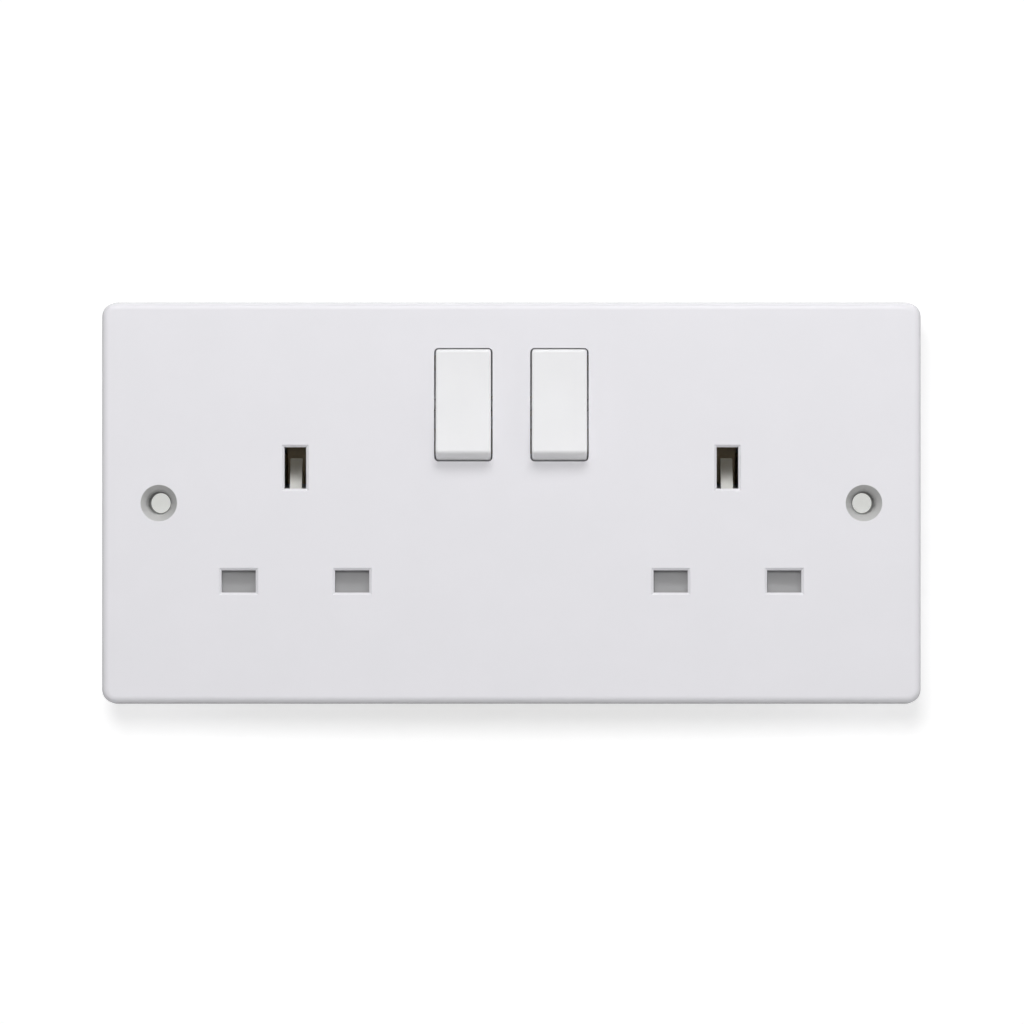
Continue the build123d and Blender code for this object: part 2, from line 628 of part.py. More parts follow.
def earth_contact(side):
    """An earth jaw with its leaves left and right of the pin and a tab above for its rivet."""
    web_y = EARTH_LAYER_Y - STRIP_THICKNESS
    mouth_y = FACE_Y + EARTH_MOUTH_BEHIND_FACE
    folded = jaw(EARTH_PIN_WIDTH, EARTH_JAW_FLARE, mouth_y, web_y, EARTH_JAW_HEIGHT)
    upright = Rot(0, 90, 0) * folded
    half = EARTH_PIN_WIDTH / 2 + EARTH_JAW_FLARE / 2
    low = EARTH_JAW_HEIGHT / 2 - THROUGH
    tab = block((-half, half), (web_y, EARTH_LAYER_Y), (low, EARTH_JAW_HEIGHT / 2 + EARTH_JAW_TAB))
    x = socket_x(side)
    placed = Pos(x, 0, EARTH_Z) * (upright + tab)
    return placed - rod_y(RIVET_RADIUS, x, (web_y - THROUGH, EARTH_BACK_Y), EARTH_BAR_Z)


def terminal_drop(name):
    """The lowest point of the strip that enters a terminal's slot."""
    return (TERMINAL_X[name], TERMINAL_TOP_Z - TERMINAL_SLOT_DEPTH + BAR_WIDTH / 2)


def line_bar_outline():
    """The line bar: up from its terminal and across behind both switches."""
    x, low = terminal_drop("line")
    turn_z = PIN_ROW_Z + LINE_STEM_RISE
    reach = ROCKER_SPACING / 2 + BLADE_WIDTH / 2 + CRADLE_GAP + CRADLE_WALL - BAR_WIDTH / 2
    stem = route([(x, low), (x, turn_z), (0, turn_z), (0, ROCKER_Z)], BAR_WIDTH)
    return stem + route([(-reach, ROCKER_Z), (reach, ROCKER_Z)], BAR_WIDTH)


def line_busbar():
    """The line bar with a folded cradle for each switch blade."""
    bar = layer(line_bar_outline(), LINE_LAYER_Y, STRIP_THICKNESS)
    notch = EAR_PIN_RADIUS + JOURNAL_CLEARANCE
    open_y = BLADE_Y - 2 * notch
    for side in SIDES:
        x = rocker_x(side)
        near = BLADE_WIDTH / 2 + CRADLE_GAP
        for way in (-1, 1):
            span = sorted((x + way * near, x + way * (near + CRADLE_WALL)))
            tall = (ROCKER_Z - CRADLE_HEIGHT / 2, ROCKER_Z + CRADLE_HEIGHT / 2)
            cheek = block(span, (open_y, LINE_BACK_Y), tall)
            bar += fillet(cheek.edges().filter_by(Axis.X).sort_by(Axis.Y)[:2], CRADLE_WALL)
        far = near + CRADLE_WALL
        bar -= rod_x(notch, (x - far, x + far), BLADE_Y, ROCKER_Z)
        throat = (ROCKER_Z - notch, ROCKER_Z + notch)
        bar -= block((x - far, x + far), (open_y - THROUGH, BLADE_Y), throat)
    return bar


def neutral_bar_outline():
    """The neutral bar: across behind both neutral jaws, with a drop to its terminal."""
    x, low = terminal_drop("neutral")
    ends = [(neutral_jaw_x(side), PIN_ROW_Z) for side in SIDES]
    return route(ends, BAR_WIDTH) + route([(x, PIN_ROW_Z), (x, low)], BAR_WIDTH)


def neutral_busbar():
    """The flat neutral bar, drilled for two rivets."""
    bar = layer(neutral_bar_outline(), NEUTRAL_LAYER_Y, BAR_THICKNESS)
    for side in SIDES:
        through = (NEUTRAL_LAYER_Y - THROUGH, NEUTRAL_BACK_Y + THROUGH)
        bar -= rod_y(RIVET_RADIUS, neutral_jaw_x(side), through, PIN_ROW_Z)
    return bar


def clamp_z():
    """The height of the clamp screws."""
    return TERMINAL_FOOT_Z + WIRE_BORE_LENGTH / 2


def earth_bar_outline():
    """The earth bar: across behind both earth jaws, with a leg to each earth terminal."""
    outline = route([(socket_x(side), EARTH_BAR_Z) for side in SIDES], EARTH_BAR_WIDTH)
    for name in ("left_earth", "right_earth"):
        x = TERMINAL_X[name]
        outline += route([(x, EARTH_BAR_Z), (x, clamp_z())], EARTH_BAR_WIDTH)
    return outline


def earth_busbar():
    """The flat earth bar, drilled for two rivets and two clamp screws."""
    bar = layer(earth_bar_outline(), EARTH_LAYER_Y, BAR_THICKNESS)
    through = (EARTH_LAYER_Y - THROUGH, EARTH_BACK_Y + THROUGH)
    for side in SIDES:
        bar -= rod_y(RIVET_RADIUS, socket_x(side), through, EARTH_BAR_Z)
    for name in ("left_earth", "right_earth"):
        hole = CLAMP_SCREW_RADIUS + CLAMP_SCREW_CLEARANCE
        bar -= rod_y(hole, TERMINAL_X[name], through, clamp_z())
    return bar


def contact_rivets():
    """Two rivets in the neutral jaws and two in the earth jaws."""
    rivets = []
    for side in SIDES:
        for x, z, front, back in (
            (neutral_jaw_x(side), PIN_ROW_Z, NEUTRAL_LAYER_Y - STRIP_THICKNESS, NEUTRAL_BACK_Y),
            (socket_x(side), EARTH_BAR_Z, EARTH_LAYER_Y - STRIP_THICKNESS, EARTH_BACK_Y),
        ):
            shank = rod_y(RIVET_RADIUS, x, (front, back), z)
            heads = [
                rod_y(RIVET_HEAD_RADIUS, x, (front - RIVET_HEAD, front), z),
                rod_y(RIVET_HEAD_RADIUS, x, (back, back + RIVET_HEAD), z),
            ]
            rivets.append(shank + heads)
    return Compound(children=[r.solid() for r in rivets])


# Terminals and screws

def terminal(name):
    """A brass block with a wire bore from below, a clamp screw's hole and a slot for its bar."""
    x = TERMINAL_X[name]
    half = TERMINAL_WIDTH / 2
    depth = (TERMINAL_FRONT_Y, TERMINAL_BACK_Y)
    body = block((x - half, x + half), depth, (TERMINAL_FOOT_Z, TERMINAL_TOP_Z))
    body = chamfer(body.edges().filter_by(Axis.Z), TERMINAL_EDGE)
    wire = (TERMINAL_FOOT_Z - THROUGH, TERMINAL_FOOT_Z + WIRE_BORE_LENGTH)
    body -= rod_z(WIRE_BORE_RADIUS, x, WIRE_Y, wire)
    clamp = (WIRE_Y, TERMINAL_BACK_Y + THROUGH)
    body -= rod_y(CLAMP_SCREW_RADIUS + CLAMP_SCREW_CLEARANCE, x, clamp, clamp_z())
    slots = {
        "line": (LINE_LAYER_Y, LINE_BACK_Y),
        "neutral": (NEUTRAL_LAYER_Y, NEUTRAL_BACK_Y),
    }
    if name in slots:
        body -= block(
            (x - half - THROUGH, x + half + THROUGH), slots[name],
            (TERMINAL_TOP_Z - TERMINAL_SLOT_DEPTH, TERMINAL_TOP_Z + THROUGH),
        )
    return body


def terminal_screws():
    """Four slotted clamp screws, backed off to leave the wire bores open."""
    screws = []
    tip = WIRE_Y + WIRE_BORE_RADIUS + CLAMP_HEAD_GAP
    head = EARTH_BACK_Y + CLAMP_HEAD_GAP
    top = HOUSING_BACK_Y - CLAMP_HEAD_GAP
    slot = CLAMP_HEAD_RADIUS + THROUGH
    thin = DRIVER_SLOT_WIDTH / 2
    for x in TERMINAL_X.values():
        screw = rod_y(CLAMP_SCREW_RADIUS, x, (tip, head), clamp_z())
        screw += rod_y(CLAMP_HEAD_RADIUS, x, (head, top), clamp_z())
        screw -= block(
            (x - slot, x + slot), (top - DRIVER_SLOT_DEPTH, top + THROUGH),
            (clamp_z() - thin, clamp_z() + thin),
        )
        screws.append(screw)
    return Compound(children=[s.solid() for s in screws])


def tube_front_y():
    """Where the housing's corner tubes meet the plate's posts."""
    return FACE_BACK_Y + POST_LENGTH


def housing_screws():
    """Four screws with a cross recess, from the back of the housing into the plate's posts."""
    screws = []
    seat = tube_front_y() + TUBE_WEB
    for x in (-POST_X, POST_X):
        for z in (-POST_Z, POST_Z):
            screw = rod_y(SCREW_RADIUS, x, (seat - SCREW_LENGTH, seat), z)
            screw += rod_y(SCREW_HEAD_RADIUS, x, (seat, seat + SCREW_HEAD), z)
            arm, thin = CROSS_LENGTH / 2, CROSS_WIDTH / 2
            cut = (seat + SCREW_HEAD - CROSS_DEPTH, seat + SCREW_HEAD + THROUGH)
            screw -= block((x - arm, x + arm), cut, (z - thin, z + thin))
            screw -= block((x - thin, x + thin), cut, (z - arm, z + arm))
            screws.append(screw)
    return Compound(children=[s.solid() for s in screws])


# Rear housing

def jaw_pocket(x, way):
    """Walls round a jaw, open on the side where a line contact's strip leaves it (way), or all round."""
    side = JAW_WIDTH / 2 + POCKET_GAP
    rise = PIN_HEIGHT / 2 + STRIP_THICKNESS + JAW_FLARE + POCKET_GAP
    depth = (GUIDE_Y, HOUSING_FLOOR_Y)
    tall = (PIN_ROW_Z - rise - POCKET_WALL, PIN_ROW_Z + rise + POCKET_WALL)
    walls = []
    for turn in (-1, 1):
        if turn != way:
            walls.append(block(sorted((x + turn * side, x + turn * (side + POCKET_WALL))), depth, tall))
        span = sorted((PIN_ROW_Z + turn * rise, PIN_ROW_Z + turn * (rise + POCKET_WALL)))
        walls.append(block((x - side, x + side), depth, span))
    return walls


def earth_pocket(x):
    """A wall on each side of an earth jaw."""
    near = EARTH_PIN_WIDTH / 2 + STRIP_THICKNESS + EARTH_JAW_FLARE + POCKET_GAP
    tall = (EARTH_Z - EARTH_JAW_HEIGHT / 2, EARTH_Z + EARTH_JAW_HEIGHT / 2)
    return [
        block(sorted((x + way * near, x + way * (near + POCKET_WALL))), (GUIDE_Y, HOUSING_FLOOR_Y), tall)
        for way in (-1, 1)
    ]


def seats():
    """Cross-shaped pillars that each bar or strip lies on, as (x, z, y of the seat)."""
    places = [(0, 0, LINE_BACK_Y), (0, EARTH_BAR_Z, EARTH_BACK_Y)]
    for side in SIDES:
        way = SIDES[side]
        x = rocker_x(side)
        places += [
            (x, ROCKER_Z, LINE_BACK_Y),
            (x, FIXED_TIP_Z, LINE_BACK_Y),
            (line_rise_x(side), 0, LINE_BACK_Y),
            (neutral_jaw_x(side) - way * BAR_WIDTH, PIN_ROW_Z, NEUTRAL_BACK_Y),
            (socket_x(side) - way * EARTH_BAR_WIDTH, EARTH_BAR_Z, EARTH_BACK_Y),
        ]
    pillars = []
    long, thin = SEAT_WIDTH / 2, SEAT_WALL / 2
    for x, z, y in places:
        depth = (y, HOUSING_FLOOR_Y)
        pillars.append(block((x - long, x + long), depth, (z - thin, z + thin)))
        pillars.append(block((x - thin, x + thin), depth, (z - long, z + long)))
    return pillars


def bar_channels():
    """The way that each bar takes into the housing from the front, which its walls leave open."""
    outlines = [
        (line_bar_outline(), LINE_BACK_Y),
        (neutral_bar_outline(), NEUTRAL_BACK_Y),
        (earth_bar_outline(), EARTH_BACK_Y),
    ] + [(line_outline(side), LINE_BACK_Y) for side in SIDES]
    return [
        extrude(face_plane(back) * offset(outline, CHANNEL_GAP), amount=back - GUIDE_Y + THROUGH)
        for outline, back in outlines
    ]


def housing_shell():
    """The tray: four walls and a back, with rounded corners."""
    tray = extrude(
        face_plane(HOUSING_BACK_Y) * RectangleRounded(HOUSING_WIDTH, 2 * HOUSING_OUTER_Z, HOUSING_CORNER),
        amount=HOUSING_BACK_Y - FACE_BACK_Y,
    )
    tray = chamfer(tray.faces().sort_by(Axis.Y)[-1].edges(), HOUSING_CHAMFER)
    return tray - extrude(
        face_plane(HOUSING_FLOOR_Y) * RectangleRounded(
            2 * HOUSING_INNER_X, 2 * HOUSING_INNER_Z, HOUSING_CORNER - HOUSING_WALL
        ),
        amount=HOUSING_FLOOR_Y - FACE_BACK_Y,
    )


def wire_port(x):
    """A round-ended notch in the block's bottom that runs on into a clamp screw's access hole."""
    foot = -HOUSING_OUTER_Z - THROUGH
    side = (x - WIRE_PORT_RADIUS, x + WIRE_PORT_RADIUS)
    notch = block(side, (WIRE_Y, HOUSING_BACK_Y + THROUGH), (foot, clamp_z()))
    return notch + rod_z(WIRE_PORT_RADIUS, x, WIRE_Y, (foot, TERMINAL_FOOT_Z))


def terminal_block_box(gap):
    """The room of the terminal block, grown by a gap at its sides, front and top."""
    half = TERMINAL_BLOCK_X + gap
    return (-half, half), (TERMINAL_FRONT_Y - BARRIER_PROUD - gap, HOUSING_BACK_Y), TERMINAL_TOP_Z + gap


def terminal_block():
    """The moulding that holds the terminals apart: a bottom, a back and a barrier between each two."""
    side, depth, top = terminal_block_box(0)
    comb = block(side, depth, (-HOUSING_OUTER_Z, -HOUSING_INNER_Z))
    comb += block(side, (HOUSING_FLOOR_Y, HOUSING_BACK_Y), (-HOUSING_OUTER_Z, top))
    xs = sorted(TERMINAL_X.values())
    middles = [(near + far) / 2 for near, far in zip(xs, xs[1:])]
    edge = TERMINAL_BLOCK_X - POCKET_WALL / 2
    for x in [-edge] + middles + [edge]:
        wall = (x - POCKET_WALL / 2, x + POCKET_WALL / 2)
        comb += block(wall, (depth[0], HOUSING_FLOOR_Y), (-HOUSING_INNER_Z, top))
    heel = comb.edges().filter_by(Axis.X).sort_by(Axis.Z)[:2].sort_by(Axis.Y)[-1]
    comb = chamfer(heel, HOUSING_CHAMFER)
    access = (HOUSING_FLOOR_Y - THROUGH, HOUSING_BACK_Y + THROUGH)
    for x in xs:
        comb -= wire_port(x)
        comb -= rod_y(CLAMP_HEAD_RADIUS + ACCESS_GAP, x, access, clamp_z())
    return comb


def rear_housing():
    """The tray with its pockets, seats, corner tubes, spring pegs and the room for the terminal block."""
    inner = []
    for side in SIDES:
        inner += jaw_pocket(line_jaw_x(side), -SIDES[side])
        inner += jaw_pocket(neutral_jaw_x(side), 0)
        inner += earth_pocket(socket_x(side))
    ribs = Part() + inner
    ribs -= bar_channels()
    housing = housing_shell() + ribs + seats()
    room, tubes, bores = [], [], []
    seat = tube_front_y() + TUBE_WEB
    for x in (-POST_X, POST_X):
        for z in (-POST_Z, POST_Z):
            tubes.append(rod_y(TUBE_RADIUS, x, (tube_front_y(), HOUSING_BACK_Y), z))
            room.append(rod_y(POST_RADIUS + SHUTTER_GAP, x, (FACE_BACK_Y, tube_front_y()), z))
            head, shank = (seat, HOUSING_BACK_Y + THROUGH), (tube_front_y() - THROUGH, seat + THROUGH)
            bores.append(rod_y(SCREW_HEAD_RADIUS + SHUTTER_GAP, x, head, z))
            bores.append(rod_y(SCREW_RADIUS + SCREW_CLEARANCE, x, shank, z))
    housing = housing + tubes - room - bores
    peg = (-HOUSING_INNER_Z - HOUSING_WALL / 2, -HOUSING_INNER_Z + SPRING_PEG_LENGTH)
    for side in SIDES:
        housing += rod_z(SPRING_PEG_RADIUS, socket_x(side), SPRING_Y, peg)
    side, (front, back), top = terminal_block_box(TERMINAL_BLOCK_GAP)
    return housing - block(side, (front, back + THROUGH), (-HOUSING_OUTER_Z - THROUGH, top))


pieces = {
    "front_plate": front_plate(),
    "rear_housing": rear_housing(),
    "terminal_block": terminal_block(),
    "line_busbar": line_busbar(),
    "neutral_busbar": neutral_busbar(),
    "earth_busbar": earth_busbar(),
    "contact_rivets": contact_rivets(),
    "terminal_screws": terminal_screws(),
    "housing_screws": housing_screws(),
}
for name in TERMINAL_X:
    pieces[name + "_terminal"] = terminal(name)
for side in SIDES:
    pieces[side + "_rocker"] = at_rocker(rocker(), side)
    pieces[side + "_plunger"] = at_rocker(plunger(), side)
    pieces[side + "_plunger_spring"] = at_rocker(plunger_spring(), side)
    pieces[side + "_switch_blade"] = at_blade(switch_blade(), side)
    pieces[side + "_moving_tip"] = at_blade(moving_tip(), side)
    pieces[side + "_fixed_tip"] = fixed_tip(side)
    pieces[side + "_line_contact"] = line_contact(side)
    pieces[side + "_neutral_contact"] = neutral_contact(side)
    pieces[side + "_earth_contact"] = earth_contact(side)
    pieces[side + "_shutter"] = shutter(side)
    pieces[side + "_shutter_spring"] = shutter_spring(side)

for name, shape in pieces.items():
    export_step(shape, f"parts/{name}.step")
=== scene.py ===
"""Looks for a double switched wall socket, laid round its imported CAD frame.

Every length is in metres, in the frame's own axes: the wall is the plane y = 0, the plate faces -Y,
+X is to the right and +Z is up.
"""
import json
import logging
from dataclasses import dataclass
from enum import Enum
from math import cos, pi, radians, sin
from typing import Any, Optional, Sequence, Union

import bmesh
import bpy
import numpy as np
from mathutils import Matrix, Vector

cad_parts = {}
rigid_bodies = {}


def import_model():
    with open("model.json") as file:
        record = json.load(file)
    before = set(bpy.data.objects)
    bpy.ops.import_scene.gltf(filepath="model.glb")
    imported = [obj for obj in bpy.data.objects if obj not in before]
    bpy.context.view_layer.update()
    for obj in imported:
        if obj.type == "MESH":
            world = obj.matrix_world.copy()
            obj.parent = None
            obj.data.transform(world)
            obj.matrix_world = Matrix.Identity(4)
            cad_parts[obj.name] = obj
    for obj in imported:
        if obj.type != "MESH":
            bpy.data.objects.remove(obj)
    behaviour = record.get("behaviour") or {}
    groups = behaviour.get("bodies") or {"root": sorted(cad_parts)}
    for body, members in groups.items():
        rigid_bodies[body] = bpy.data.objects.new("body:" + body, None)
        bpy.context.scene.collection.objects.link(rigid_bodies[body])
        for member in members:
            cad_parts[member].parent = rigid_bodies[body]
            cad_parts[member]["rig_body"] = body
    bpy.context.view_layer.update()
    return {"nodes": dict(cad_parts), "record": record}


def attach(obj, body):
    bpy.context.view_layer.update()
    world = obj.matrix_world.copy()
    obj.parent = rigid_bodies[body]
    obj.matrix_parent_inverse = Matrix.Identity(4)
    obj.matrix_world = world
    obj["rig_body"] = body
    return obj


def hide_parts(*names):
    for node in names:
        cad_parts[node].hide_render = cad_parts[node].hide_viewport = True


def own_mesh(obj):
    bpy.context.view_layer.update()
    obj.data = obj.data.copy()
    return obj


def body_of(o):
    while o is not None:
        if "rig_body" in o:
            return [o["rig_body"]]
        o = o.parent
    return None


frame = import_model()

MM = 0.001
LOG = logging.getLogger("wall_socket")
SIDES = (("left", -1), ("right", 1))

Colour = tuple[float, float, float]
Number = Union[int, float]


# Shader maths

class Bench:
    """The node tree of a material or a world, with one method that makes any node."""

    def __init__(self, name: str, shelf: Optional[bpy.types.bpy_prop_collection] = None) -> None:
        """Starts an empty tree.

        Args:
            name: the material's or the world's name.
            shelf: bpy.data.worlds for a world, and nothing for a material.
        """
        self.owner = (bpy.data.materials if shelf is None else shelf).new(name)
        self.owner.use_nodes = True
        self.tree = self.owner.node_tree
        self.tree.nodes.clear()

    def node(self, kind: str, settings: Optional[dict[str, Any]] = None,
             inputs: Optional[dict[Union[str, int], Any]] = None) -> bpy.types.Node:
        """Makes a node: its settings are set first, then its sockets.

        Args:
            kind: the node's type, such as ShaderNodeMath.
            settings: attributes of the node.
            inputs: values, signals or sockets by input name or number.

        Returns:
            The new node.
        """
        made = self.tree.nodes.new(kind)
        for key, value in (settings or {}).items():
            setattr(made, key, value)
        for key, value in (inputs or {}).items():
            self._feed(made.inputs[key], value)
        return made

    def _feed(self, target: bpy.types.NodeSocket, value: Any) -> None:
        """Links a signal or socket to an input, or writes a plain value there.

        Args:
            target: the input.
            value: a Signal, a socket, a number or a colour.
        """
        if isinstance(value, Signal):
            self.tree.links.new(value.socket, target)
        elif isinstance(value, bpy.types.NodeSocket):
            self.tree.links.new(value, target)
        elif target.type == "RGBA" and len(value) == 3:
            target.default_value = (*value, 1.0)
        else:
            target.default_value = value

    def place(self) -> "Signal":
        """The point on the piece, in the frame's axes."""
        return Signal(self, self.node("ShaderNodeTexCoord").outputs["Object"])

    def ray(self, kind: str) -> "Signal":
        """1 on rays of one kind, such as Is Camera Ray, and 0 on others."""
        return Signal(self, self.node("ShaderNodeLightPath").outputs[kind])

    def axes(self, point: "Signal") -> tuple["Signal", "Signal", "Signal"]:
        """Splits a point.

        Args:
            point: a vector signal.

        Returns:
            Its x, y and z.
        """
        parts = self.node("ShaderNodeSeparateXYZ", inputs={0: point})
        return tuple(Signal(self, parts.outputs[i]) for i in range(3))

    def noise(self, point: "Signal", scale: float, detail: float = 2.0) -> "Signal":
        """Fractal noise from 0 to 1.

        Args:
            point: where it is read.
            scale: features for each metre.
            detail: octaves.

        Returns:
            The noise's value.
        """
        made = self.node("ShaderNodeTexNoise", inputs={"Vector": point, "Scale": scale, "Detail": detail})
        return Signal(self, made.outputs[0])

    def blend(self, share: Any, low: Any, high: Any) -> "Signal":
        """Mixes two colours.

        Args:
            share: 0 gives low and 1 gives high.
            low: a colour or colour signal.
            high: a colour or colour signal.

        Returns:
            The mixed colour.
        """
        made = self.node("ShaderNodeMix", {"data_type": "RGBA"}, {0: share, 6: low, 7: high})
        return Signal(self, made.outputs[2])

    def bump(self, height: "Signal", depth: float) -> "Signal":
        """A normal bent by a height.

        Args:
            height: the relief, from 0 to 1.
            depth: how deep 1 is, in metres.

        Returns:
            The bent normal.
        """
        made = self.node("ShaderNodeBump", inputs={"Strength": 1.0, "Distance": depth, "Height": height})
        return Signal(self, made.outputs[0])

    def surface(self, **inputs: Any) -> bpy.types.Material:
        """The main shader, linked to the output.

        Args:
            inputs: its sockets, with _ for a space in each name.

        Returns:
            The finished material.
        """
        named = {key.replace("_", " "): value for key, value in inputs.items()}
        return self.finished(self.node("ShaderNodeBsdfPrincipled", inputs=named))

    def finished(self, shader: bpy.types.Node, output: str = "ShaderNodeOutputMaterial") -> Any:
        """Links a shader to the output.

        Args:
            shader: the last node.
            output: the output node's type.

        Returns:
            The finished material or world.
        """
        self.node(output, inputs={0: shader.outputs[0]})
        return self.owner


@dataclass(frozen=True)
class Signal:
    """A node's output that Python's operators can work on."""

    bench: Bench
    socket: bpy.types.NodeSocket

    def _math(self, operation: str, *values: Any) -> "Signal":
        """Adds a Math node.

        Args:
            operation: its operation.
            values: its inputs in order.

        Returns:
            The result.
        """
        made = self.bench.node("ShaderNodeMath", {"operation": operation}, dict(enumerate(values)))
        return Signal(self.bench, made.outputs[0])

    def __add__(self, other: Any) -> "Signal":
        """self + other."""
        return self._math("ADD", self, other)

    def __radd__(self, other: Number) -> "Signal":
        """other + self."""
        return self._math("ADD", other, self)

    def __sub__(self, other: Any) -> "Signal":
        """self - other."""
        return self._math("SUBTRACT", self, other)

    def __rsub__(self, other: Number) -> "Signal":
        """other - self."""
        return self._math("SUBTRACT", other, self)

    def __mul__(self, other: Any) -> "Signal":
        """self * other."""
        return self._math("MULTIPLY", self, other)

    def __rmul__(self, other: Number) -> "Signal":
        """other * self."""
        return self._math("MULTIPLY", other, self)

    def __pow__(self, other: Any) -> "Signal":
        """self to the power of other."""
        return self._math("POWER", self, other)

    def size(self) -> "Signal":
        """The value without its sign."""
        return self._math("ABSOLUTE", self)

    def ramp(self, low: float, high: float) -> "Signal":
        """0 at low and 1 at high, smooth between.

        Args:
            low: where it leaves 0.
            high: where it reaches 1.

        Returns:
            The share.
        """
        made = self.bench.node("ShaderNodeMapRange", {"interpolation_type": "SMOOTHSTEP"},
                               {0: self, 1: low, 2: high})
        return Signal(self.bench, made.outputs[0])


# Finishes

@dataclass(frozen=True)
class MouldedPlastic:
    """Glossy moulded plastic: a soft mottle in its colour, gloss that varies, and a very fine ripple."""

    name: str
    colour: Colour
    shade: Colour
    roughness: float = 0.22
    roughness_swing: float = 0.06
    mottle_scale: float = 90.0
    mottle_span: tuple[float, float] = (0.35, 0.7)
    ripple_scale: float = 900.0
    ripple_depth: float = 0.000004

    def material(self) -> bpy.types.Material:
        """The finish as a material.

        Returns:
            The material.
        """
        bench = Bench(self.name)
        point = bench.place()
        mottle = bench.noise(point, self.mottle_scale, detail=3.0)
        return bench.surface(
            Base_Color=self._paint(bench, point, mottle),
            Roughness=self.roughness + (mottle - 0.5) * self.roughness_swing,
            Normal=bench.bump(bench.noise(point, self.ripple_scale), self.ripple_depth),
        )

    def _paint(self, bench: Bench, point: Signal, mottle: Signal) -> Signal:
        """The colour at a point: the shade in the mottle's hollows and the colour on its heights.

        Args:
            bench: the material's nodes.
            point: the point on the piece.
            mottle: the mottle there.

        Returns:
            The colour.
        """
        return bench.blend(mottle.ramp(*self.mottle_span), self.shade, self.colour)


@dataclass(frozen=True)
class SheetMetal:
    """Rolled or plated metal: fine lines along one axis, tarnish in patches and a varying gloss."""

    name: str
    colour: Colour
    tarnish: Colour
    roughness: float = 0.3
    roughness_swing: float = 0.12
    patch_scale: float = 160.0
    patch_span: tuple[float, float] = (0.45, 0.8)
    line_scale: float = 1600.0
    line_depth: float = 0.000006
    line_stretch: float = 0.15
    tarnish_share: float = 0.6

    def material(self) -> bpy.types.Material:
        """The finish as a material.

        Returns:
            The material.
        """
        bench = Bench(self.name)
        point = bench.place()
        _, y, z = bench.axes(point)
        streak = bench.node("ShaderNodeCombineXYZ", inputs={0: 0.0, 1: y * self.line_stretch, 2: z})
        lines = bench.noise(Signal(bench, streak.outputs[0]), self.line_scale)
        patch = bench.noise(point, self.patch_scale, detail=4.0)
        share = patch.ramp(*self.patch_span) * self.tarnish_share
        return bench.surface(
            Base_Color=bench.blend(share, self.colour, self.tarnish),
            Metallic=1.0,
            Roughness=self.roughness + (patch - 0.5) * self.roughness_swing,
            Normal=bench.bump(lines, self.line_depth),
        )


@dataclass(frozen=True)
class RockerPlastic(MouldedPlastic):
    """Moulded plastic painted dark where the plate always hides it, as painted shade in the gap between
    rocker and plate.

    The upper half tips out of the plate when the switch is on, so the dark starts deeper towards its end.
    """

    # painted shade: the near-black colour of the rocker's sides inside the gap
    dusty: Colour = (0.13, 0.13, 0.125)
    dust_y: tuple[float, float] = (-0.0088, -0.0072)
    tips_out_z: tuple[float, float] = (0.01925, 0.03035)
    tips_out: float = 0.0031

    def _paint(self, bench: Bench, point: Signal, mottle: Signal) -> Signal:
        """The moulding's colour, blended to the painted gap shade with the depth in the gap.

        Args:
            bench: the material's nodes.
            point: the point on the piece.
            mottle: the mottle there.

        Returns:
            The colour.
        """
        _, y, z = bench.axes(point)
        # painted shade: the colour darkens with the depth in the gap
        depth = y - z.ramp(*self.tips_out_z) * self.tips_out
        return bench.blend(depth.ramp(*self.dust_y), super()._paint(bench, point, mottle), self.dusty)


@dataclass(frozen=True)
class ShutterPlastic:
    """Satin plastic, by height: a grey blank painted darker than the plastic as shade in the slot, and darker
    still to its top as painted shade, a pale ramp's foot, then painted shade where the ramp runs deep into
    the earth slot.
    """

    name: str
    blank: Colour
    blank_top: Colour
    foot: Colour
    grime: Colour
    blank_top_z: tuple[float, float] = (-0.0165, -0.0128)
    foot_z: tuple[float, float] = (-0.009, -0.004)
    grime_z: tuple[float, float] = (0.0032, 0.0078)
    roughness: float = 0.42
    roughness_swing: float = 0.12
    mottle_scale: float = 420.0
    mottle_depth: float = 0.00001
    waver: float = 0.0012

    def material(self) -> bpy.types.Material:
        """The finish as a material. The mottle makes the heights waver at which the colours change.

        Returns:
            The material.
        """
        bench = Bench(self.name)
        point = bench.place()
        _, _, z = bench.axes(point)
        mottle = bench.noise(point, self.mottle_scale, detail=3.0)
        height = z + (mottle - 0.5) * self.waver
        # painted shade: the blank darkens towards its top
        paint = bench.blend(height.ramp(*self.blank_top_z), self.blank, self.blank_top)
        paint = bench.blend(height.ramp(*self.foot_z), paint, self.foot)
        return bench.surface(
            # painted shade: near black where the ramp runs deep
            Base_Color=bench.blend(height.ramp(*self.grime_z), paint, self.grime),
            Roughness=self.roughness + (mottle - 0.5) * self.roughness_swing,
            Normal=bench.bump(mottle, self.mottle_depth),
        )


@dataclass(frozen=True)
class ShadedBore:
    """Plastic inside a deep hole, with painted shade: pale at the mouth and dark at the foot, where the shade
    is painted in.
    """

    name: str
    colour: Colour
    deep: Colour
    shade_y: tuple[float, float] = (-0.0065, -0.0042)
    roughness: float = 0.4
    roughness_swing: float = 0.1
    mottle_scale: float = 1400.0
    waver: float = 0.003

    def material(self) -> bpy.types.Material:
        """The finish as a material. The mottle makes the depth waver at which it darkens.

        Returns:
            The material.
        """
        bench = Bench(self.name)
        point = bench.place()
        _, y, _ = bench.axes(point)
        mottle = bench.noise(point, self.mottle_scale, detail=4.0)
        share = (y + (mottle - 0.5) * self.waver).ramp(*self.shade_y)
        return bench.surface(Base_Color=bench.blend(share, self.colour, self.deep),
                             Roughness=self.roughness + (mottle - 0.5) * self.roughness_swing)


